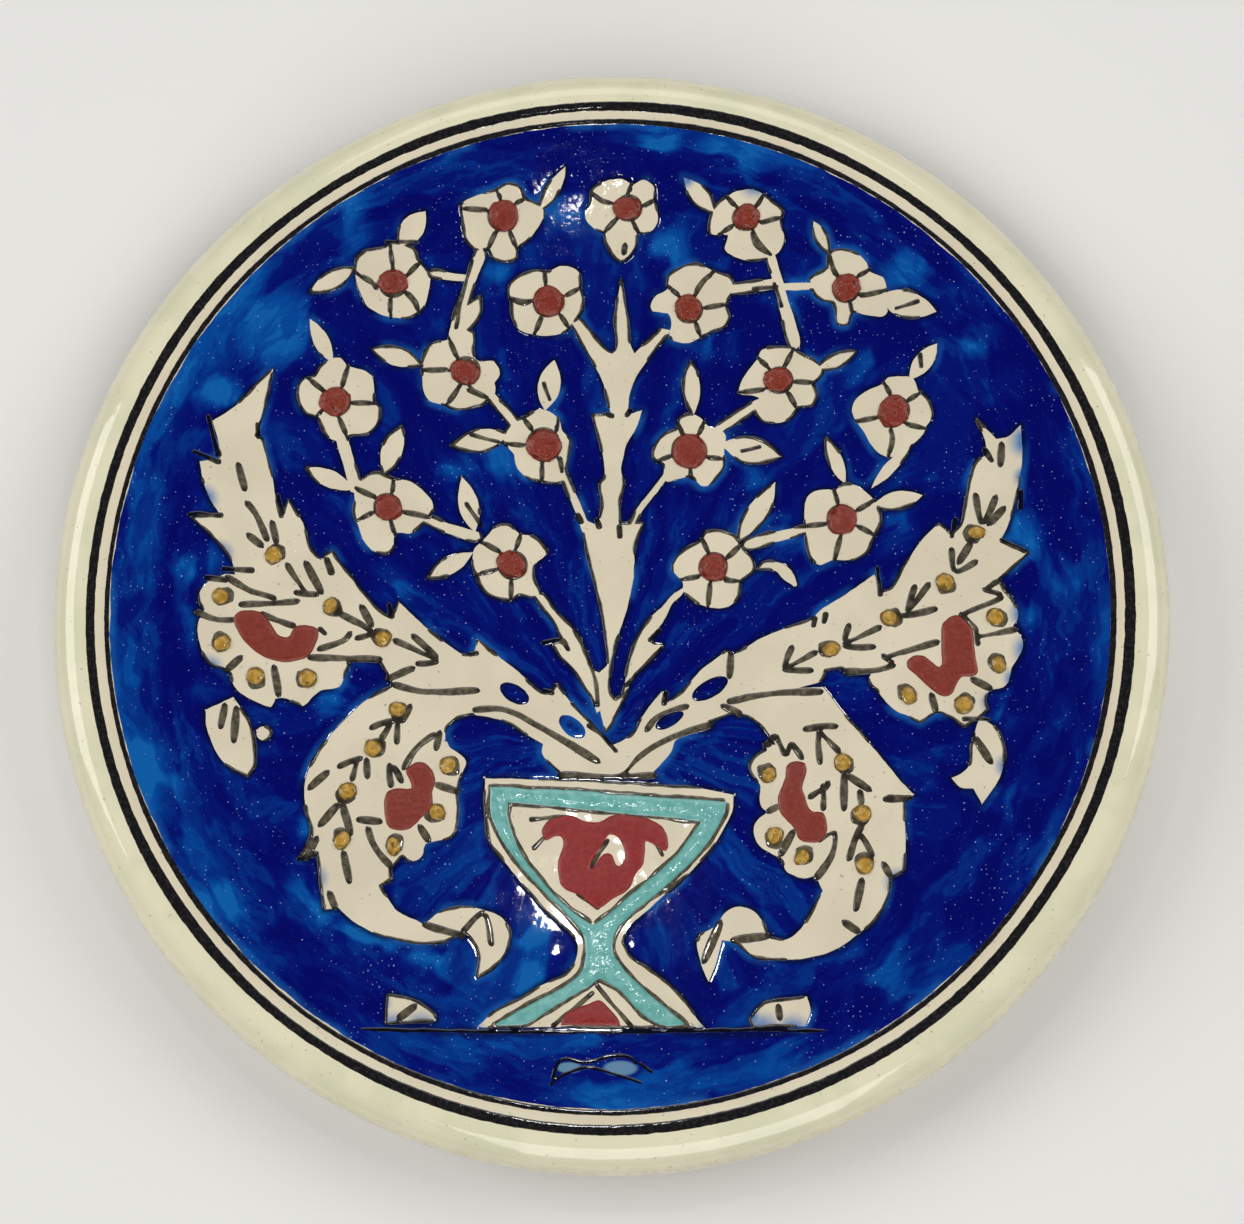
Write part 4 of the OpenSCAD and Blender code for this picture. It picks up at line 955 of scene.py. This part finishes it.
# Red paint
# The red is a stiff slip, rich in iron, that is laid on thickly. It doesn't flow in the kiln,
# so its patches and the blossoms' hearts stand up with steep sides.
heart_spread = 1.05


def brick_red(name, low, high):
    """Grainy red between two tones, with darker grains."""
    material, shader, place = new_material(name)
    grain = place.noise(1.2, 5, 0.65)
    tone = blend(grain.smooth(0.3, 0.7), low, high)
    dark = place.noise(2.2, 2).smooth(0.62, 0.72)
    tone = blend(dark * 0.45, tone, linear(70, 20, 17))
    glazed(shader, place, tone, extra=0.2 * grain)
    return material


brick = brick_red("brick_red", linear(112, 36, 20), linear(137, 47, 28))
maroon = brick_red("maroon_red", linear(124, 28, 26), linear(150, 42, 38))
for name, node, skin in (
        ("vase_red_paint", "vase_red", maroon), ("rosette_red_paint", "floret_red", brick)):
    loops = [hand_drawn(loop, corner=80) for loop in outline_loops(node)]
    patch = painted(
        name, paint_mesh(loops, rows=(0.15, 0.35, 0.7), spacing=0.6),
        lift=0.4, soft=0.3, uneven=0.4, material=skin)
    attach(patch, "root")
    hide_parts(node)


def islands(node):
    """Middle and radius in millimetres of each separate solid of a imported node."""
    bm = merged(node)
    left = set(bm.verts)
    found = []
    while left:
        stack = [next(iter(left))]
        left.discard(stack[0])
        solid = []
        while stack:
            vert = stack.pop()
            solid.append(vert.co.xy / mm)
            for edge in vert.link_edges:
                other = edge.other_vert(vert)
                if other in left:
                    left.discard(other)
                    stack.append(other)
        solid = np.array(solid)
        low, high = solid.min(0), solid.max(0)
        found.append(((low + high) / 2, (high - low).mean() / 2))
    bm.free()
    return sorted(found, key=lambda f: tuple(f[0]))


def drop_tree():
    """Sets a rounded drop of paint on each point, each of its own size, turn and uneven outline."""
    tree, given = grow("paint_drops", {
        "Height": "Float", "Uneven": "Float", "Narrow": "Float", "Seed": "Int", "Material": "Material"})
    start = given["Geometry"]
    ball = start.make("GeometryNodeMeshUVSphere", {}, {"Segments": 32, "Rings": 16, "Radius": 1.0})
    size = start.held("size")
    narrow = start.make("FunctionNodeRandomValue", {"data_type": "FLOAT"}, {
        2: given["Narrow"] - 0.14, 3: given["Narrow"] + 0.14, "Seed": given["Seed"]}, out=1)
    turn = start.make("FunctionNodeRandomValue", {"data_type": "FLOAT"}, {
        2: 0.0, 3: math.tau, "Seed": given["Seed"] + 1}, out=1)
    scale = start.make("ShaderNodeCombineXYZ", {}, {"X": size, "Y": size * narrow, "Z": 1.0})
    drops = start.make("GeometryNodeInstanceOnPoints", {}, {
        "Points": start, "Instance": ball, "Scale": scale,
        "Rotation": start.make("ShaderNodeCombineXYZ", {}, {"Z": turn})})
    drops = start.make("GeometryNodeRealizeInstances", {}, {"Geometry": drops})
    crown = start.make("GeometryNodeInputPosition").parts().out("Z")
    drops = start.make("GeometryNodeStoreNamedAttribute", {"data_type": "FLOAT", "domain": "POINT"}, {
        "Geometry": drops, "Name": "crown", "Value": crown})
    place = start.make("GeometryNodeInputPosition")
    shift = place.vector("SCALE", {0: place.vector("SUBTRACT", {
        0: place.noise(380, 2, out=1), 1: (0.5, 0.5, 0.5)}), 3: given["Uneven"]})
    part = place.vector("ADD", {0: place, 1: shift.flat()}).parts()
    # Steep sides and a flat crown above, and a shallow base below the face of the coat
    steep = part.out("Z").math("ABSOLUTE", part.out("Z"))
    steep = steep.math("POWER", steep, 0.62)
    sign = steep.math("SIGN", part.out("Z"))
    up = (sign + 1) / 2
    height = steep * given["Height"] * (up - 0.12 * (1 - up)) * (1 + 0.5 * (place.noise(300, 2) - 0.5))
    level = dish_height(part.out("X"), part.out("Y"))
    laid = start.make("ShaderNodeCombineXYZ", {}, {
        "X": part.out("X"), "Y": part.out("Y"), "Z": level + height})
    geometry = start.make("GeometryNodeSetPosition", {}, {"Geometry": drops, "Position": laid})
    geometry = start.make("GeometryNodeSetShadeSmooth", {}, {"Geometry": geometry})
    close_tree(geometry, given["Material"])
    return tree


DROPS = drop_tree()


def drops_of(name, spots, height, uneven, narrow, seed, material):
    """A piece of separate drops of paint, one on each spot."""
    mesh = bpy.data.meshes.new(name)
    mesh.from_pydata([(x * mm, y * mm, 0) for (x, y), _ in spots], [], [])
    hold(mesh, "size", [r * mm for _, r in spots])
    return worked(name, mesh, DROPS, {
        "Height": height * mm, "Uneven": uneven * mm, "Narrow": narrow, "Seed": seed, "Material": material})


heart_spots = islands("blossom_hearts")
hearts = drops_of(
    "blossom_heart_drops", [(p, r * heart_spread) for p, r in heart_spots],
    height=0.7, uneven=2.0, narrow=0.95, seed=7, material=brick)
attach(hearts, "root")
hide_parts("blossom_hearts")

# Brush lines
# The drawing is in thin grey-brown brush strokes with round ends, where the brush leaves most colour.
# It is drawn on the white, and where a stroke runs into the blue it turns nearly black.

# Widths of the strokes, and how far a line between petals is led on, in millimetres
stroke_w = 1.0
thorn_w = 1.3
petal_w = 0.9
outline_w = 0.75
band_outline_w = 1.2 * outline_w
line_spread = 0.1
petal_reach = 2.6

# A patch of blue in the white has an outline from this area in square millimetres on, and a
# stroke of the drawing ends where it turns by more than tip_turn degrees
outlined_area = 60
tip_turn = 70
drawing = outline_loops("brush_lines")
dot_spots = islands("ochre_dots")

# Dark thorns in the notches of the leaves, running out into the blue
thorns = [
    [(-90.4, 18.2), (-84, 18.1)], [(-90, 32.1), (-84.8, 30)], [(-87.1, 40), (-84.8, 31.6)],
    [(-76.6, 38.4), (-76.3, 35.8)], [(-71.8, 22.9), (-71, 18.4)], [(-61, 8.6), (-60, 6)],
    [(-47.4, -1), (-46.8, -3.5)], [(-82.9, 6.4), (-77, 6.1)], [(-86.4, 4.4), (-82.4, 4)],
    [(-13.8, -9.3), (-9.8, -9), (-8.5, -10.8)], [(-13.6, -19.8), (-12, -20.3)],
    [(-29.8, -11.9), (-28.4, -11.7)], [(-6.6, 18.8), (-5.9, 17.5)], [(0, 41.6), (0.9, 41.1)],
    [(5, 42.3), (4.2, 41.2)], [(-2.5, 17.8), (-1.9, 16.4)], [(2.5, 16.2), (2.6, 14.2)],
    [(9.2, -8.8), (11.2, -6.8)], [(12.2, -22.6), (12.6, -20.4)], [(58.2, 6.2), (58.7, 0.6)],
    [(74.2, 12.8), (75, 16.4)], [(88.9, 22), (88.6, 18.4)], [(84.6, 11.4), (89.2, 9)],
    [(44.7, -4.6), (44.4, -6)], [(47, -3.8), (46.6, -5.3)], [(59.3, -43.4), (63.6, -43.3)],
    [(-64.6, -55.8), (-61, -54.9)], [(81.6, 31.4), (83, 29)], [(-62, -6.6), (-61, -7.6)]]

# The mark below the ground line, the ground line, then strokes on the white
extra_strokes = [
    [(-10.8, -100.2), (-10.2, -98), (-9.2, -96.7), (-7.6, -96.5), (-5, -97.1), (-2, -96.7), (0, -96.1),
     (3, -95.9), (4.8, -96.2), (5.9, -97.2)],
    [(6.8, -97.3), (9, -98.9)],
    [(-11.2, -101.6), (-10, -100.4), (-7, -98.8), (-4, -98.1), (-1, -98.6), (2, -99.5), (5, -100.4),
     (7, -101.1)],
    [(-50, -90.6), (-30, -91), (-8, -91.2), (14, -91), (30, -90.6), (44, -90.8)],
    [(-7.3, -6.5), (-5.2, -10.5), (-3.7, -14.5), (-2.6, -18), (-2.2, -23)],
    [(11.8, -10.5), (8, -14.6), (4.1, -18.7)], [(-4, -27.4), (-1, -29.6), (1.8, -32.8)],
    [(75.4, -26.8), (80.4, -27)], [(-14, 48.5), (-12.8, 45)], [(-30, 37), (-24, 35.3)],
    [(29.5, 32.8), (33.3, 33.6)], [(63.5, 63.5), (68, 64.8)], [(68.5, 53), (68.7, 50.5)],
    [(-31, 21.5), (-27.5, 16.5)], [(-30, 76), (-32, 69), (-33.5, 61)], [(37, 70), (38.5, 65)],
    [(32.5, 69), (37.5, 69.3)], [(-49, 80), (-42, 80)], [(-15.5, -53.5), (-12, -50)],
    [(-16, -47.5), (-9, -47)], [(10.5, -53), (11.5, -55)], [(-3.5, -57.5), (0, -52)],
    [(-6, -63), (-2, -66)], [(-11, -90), (-3, -83.5)], [(-2, -82), (5, -90)]]


def stroke_outline(points, width):
    """Outline of a brush stroke through points: round ends, and a width that varies a little."""
    line = np.vstack([curve_through(points, False, 0.4), [points[-1]]])
    line = unsteady(line, 0.15, 4.0)
    way = headings(line)
    side = left_of(way)
    seed = line[0][0] * 3.1 + line[0][1]
    half = np.array([[width / 2 * (1 + 0.35 * sway(x, y, 0.4, seed))] for x, y in line])
    turns = np.radians(np.arange(30, 180, 30))[:, None]
    start = line[0] + half[0] * (np.cos(turns) * side[0] - np.sin(turns) * way[0])
    end = line[-1] + half[-1] * (-np.cos(turns) * side[-1] + np.sin(turns) * way[-1])
    return np.vstack([line - side * half, end, (line + side * half)[::-1], start])


def edge_strokes(loop, aside, width, gaps, seed):
    """Outlines of strokes along a closed outline, set aside to its left. The brush lifts in places,
    and in more of them at a higher value of gaps, which goes from -1 to 1."""
    side = inwards(loop)
    half = np.array([width / 2 * (1 + 0.7 * sway(x, y, 0.3, seed)) for x, y in loop])
    drawn = np.array([sway(x, y, 0.11, seed) for x, y in loop]) > gaps
    if drawn.all():
        drawn[0] = False
    start = int(np.argmin(drawn))
    drawn, half, side, loop = (np.roll(part, -start, axis=0) for part in (drawn, half, side, loop))
    edges = np.flatnonzero(np.diff(np.concatenate([[0], drawn.astype(int), [0]])))
    strokes = []
    for first, last in zip(edges[::2], edges[1::2]):
        if last - first > 4:
            run = np.arange(last - first)
            taper = np.sqrt(np.clip(np.minimum(run + 0.5, run[::-1] + 0.5) / 2, 0, 1))
            middle = loop[first:last] + side[first:last] * aside
            reach = side[first:last] * (half[first:last] * taper)[:, None]
            strokes.append(np.vstack([middle - reach, (middle + reach)[::-1]]))
    return strokes


def spot_under(middle, radius, shift, seed):
    """A round spot of ink that shows as a dark crescent on one side of a drop."""
    turn = seed * 2.4
    centre = np.asarray(middle) + shift * np.array([math.cos(turn), math.sin(turn)])
    return arc(centre, radius, start=0, end=345, count=24)


def brush_grey():
    """Grey-brown ink on white, darker at its ends and edge, and nearly black on the blue."""
    material, shader, place = new_material("brush_grey")
    away = place.marked("from_edge")
    ends = place.marked("from_end")
    blue = place.marked("over_blue")
    dry = place.noise(0.9, 4, 0.6)
    tone = blend(dry.smooth(0.35, 0.7), linear(66, 60, 48), linear(106, 99, 82))
    dark = ends.smooth(1.8, 0.5) * 0.85 + away.smooth(0.3, 0.05) * 0.3
    tone = blend(dark.math("MINIMUM", dark, 1.0), tone, linear(36, 33, 28))
    tone = blend(blue, tone, blend(dry, linear(3, 5, 16), linear(8, 12, 36)))
    glazed(shader, place, tone)
    return material


def mark_points(piece, name, value):
    """Gives each point of a finished piece a number worked out from its place in millimetres."""
    hold(piece.data, name, [value(v.co.x / mm, v.co.y / mm) for v in piece.data.vertices])


def blue_share():
    """A test of how far a place lies in the blue: 0 on white, 1 from a little way into the blue."""
    finder = near_edge(cobalt_loops)
    starts = np.vstack(cobalt_loops)
    ends = np.vstack([np.roll(loop, -1, axis=0) for loop in cobalt_loops])

    def share(x, y):
        spans = (starts[:, 1] > y) != (ends[:, 1] > y)
        a, b = starts[spans], ends[spans]
        crossings = a[:, 0] + (y - a[:, 1]) / (b[:, 1] - a[:, 1]) * (b[:, 0] - a[:, 0]) > x
        away = finder.find((x, y, 0))[2] * (1 if crossings.sum() % 2 else -1)
        return min(1.0, max(0.0, 0.5 + away / 0.6))

    return share


def petal_strokes():
    """Strokes that lead the short lines between petals on to the heart and to the blossom's outline."""
    strokes = []
    for loop in drawing:
        middle = loop.mean(0)
        heart, radius = min(heart_spots, key=lambda spot: np.hypot(*(spot[0] - middle)))
        inner = loop[np.argmin(np.hypot(*(loop - heart).T))]
        gap = np.hypot(*(inner - heart))
        if gap < radius + petal_reach:
            outer = loop[np.argmax(np.hypot(*(loop - inner).T))]
            way = (outer - inner) / np.hypot(*(outer - inner))
            ahead = np.arange(0, petal_reach, 0.2)
            blue = [s for s in ahead if in_blue(*(outer + way * s)) > 0.5]
            end = outer + way * (blue[0] if blue else 0)
            strokes.append([heart + (inner - heart) / gap * (radius - 0.3), middle, end])
    return strokes


in_blue = blue_share()
line_loops = [inset(hand_drawn(loop, corner=math.inf, amount=0.15), -line_spread) for loop in drawing]
line_loops += [stroke_outline(stroke, stroke_w) for stroke in extra_strokes]
line_loops += [stroke_outline(stroke, petal_w) for stroke in petal_strokes()]
line_loops += [stroke_outline(stroke, thorn_w) for stroke in thorns]
field_area = max(signed_area(loop) for loop in cobalt_loops)
for seed, loop in enumerate(cobalt_loops):
    area = signed_area(loop)
    if area < 0 or outlined_area < area < field_area:
        line_loops += edge_strokes(loop, aside=0.05, width=outline_w, gaps=-0.08, seed=seed)
for loop in band_loops:
    line_loops += edge_strokes(loop, aside=-0.15, width=band_outline_w, gaps=-0.8, seed=61)
line_loops += [unsteady(spot_under(p, r + 0.35, 0.8, i), 0.5, 1.6) for i, (p, r) in enumerate(dot_spots)]
line_loops += [spot_under(p, r + 0.15, 0.4, i) for i, (p, r) in enumerate(heart_spots)]
lines = painted(
    "brush_strokes", paint_mesh(line_loops, rows=(0.18, 0.4)),
    lift=0.13, soft=0.14, uneven=0.3, material=brush_grey())

# Where the strokes start and end, since they are darker there
tips = [tuple(p) for loop in map(needed, drawing) for p in loop[bends(loop) > tip_turn]]
tips += [stroke[i] for stroke in extra_strokes + thorns for i in (0, -1)]
tips += [tuple(p) for p, _ in dot_spots]
tip_finder = near_edge([np.array(tips)])
mark_points(lines, "from_end", lambda x, y: tip_finder.find((x, y, 0))[2])
mark_points(lines, "over_blue", in_blue)
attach(lines, "root")
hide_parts("brush_lines")

# Ochre dots
# Each dot is a drop of ochre slip, set with the tip of the brush on a darker spot of ink.
# It stands up from the coat, and the ink shows round its foot.
dot_spread = 1.14


def ochre():
    """Cloudy ochre, dark round the foot of each drop."""
    material, shader, place = new_material("ochre")
    cloud = place.noise(0.9, 4).smooth(0.35, 0.65)
    crown = place.marked("crown")
    tone = blend(cloud, linear(156, 120, 46), linear(192, 150, 64))
    tone = blend(crown.smooth(0.85, 0.25) * 0.8, tone, linear(96, 78, 36))
    glazed(shader, place, tone, extra=0.15 * place.noise(1.1, 3))
    return material


dots = drops_of(
    "ochre_drops", [(p, r * dot_spread) for p, r in dot_spots],
    height=0.6, uneven=1.5, narrow=0.86, seed=3, material=ochre())
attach(dots, "root")
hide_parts("ochre_dots")

# Floor, light and camera
# A plain pale floor under soft light, seen from the photograph's viewing angle.

# The camera that fits the photograph: places in millimetres, then its frame and centre in pixels
image_w, image_h = 1244, 1224
eye = Vector((11.87, -74.95, 418.4)) * mm
aim = Vector((0, 0, 25.69)) * mm
focal_px = 1886.4
centre_px = (606.2, 591.5)
sensor = 36.0

camera = placed("camera", bpy.data.cameras.new("camera"))
ahead = (aim - eye).normalized()
right = ahead.cross(Vector((0, 1, 0))).normalized()
turn = Matrix((right, right.cross(ahead), -ahead)).transposed()
camera.matrix_world = Matrix.LocRotScale(eye, turn, None)
camera.data.sensor_width = sensor
camera.data.lens = focal_px / image_w * sensor
camera.data.shift_x = (image_w / 2 - centre_px[0]) / image_w
camera.data.shift_y = (centre_px[1] - image_h / 2) / image_w
camera.data.clip_start = 0.01
bpy.context.scene.camera = camera


def pale_floor():
    """A matt, faintly cloudy off-white."""
    material, shader, place = new_material("pale_floor")
    cloud = place.noise(0.004, 3)
    plug(shader, "Base Color", blend(cloud, linear(229, 228, 224), linear(234, 233, 229)))
    shader.inputs["Roughness"].default_value = 0.9
    return material


# A disc, with its radius in metres
floor_r = 1.4
corners = 72
edge = arc((0, 0), floor_r, start=0, end=360 - 360 / corners, count=corners)
floor_mesh = bpy.data.meshes.new("floor")
floor_mesh.from_pydata([(x, y, 0) for x, y in edge], [], [range(corners)])
floor_mesh.materials.append(pale_floor())
floor = placed("floor", floor_mesh)

# Soft panels, and two small lamps for the glints: place in metres, width and power
lit_place = Vector((0, 0, 0.02))
for name, place, width, power in (
        ("front_panel", (0.2, -1.5, 1.5), 1.4, 21), ("left_panel", (-1.6, 0.3, 1.3), 1.2, 20),
        ("right_panel", (1.6, 0.5, 1.3), 1.2, 17), ("back_panel", (0, 1.5, 1.6), 1.2, 9),
        ("vase_lamp", (-0.01, -0.008, 0.25), 0.012, 0.03),
        ("rim_lamp", (-0.012, 0.114, 0.25), 0.004, 0.002)):
    light = bpy.data.lights.new(name, "AREA")
    light.size = width
    light.energy = power
    lamp = placed(name, light)
    lamp.location = place
    lamp.rotation_euler = (lit_place - Vector(place)).to_track_quat("-Z", "Y").to_euler()
    lamp.visible_camera = False

# The room gives little light, and is seen as pale as the floor
world = bpy.data.worlds.new("room")
world.use_nodes = True
room = world.node_tree.nodes["Background"]
room.inputs["Color"].default_value = (1, 0.99, 0.97, 1)
seen = Wire(world.node_tree).make("ShaderNodeLightPath", out="Is Camera Ray")
plug(room, "Strength", 0.05 + 0.7 * seen)
bpy.context.scene.world = world
bpy.context.scene.view_settings.view_transform = "Standard"
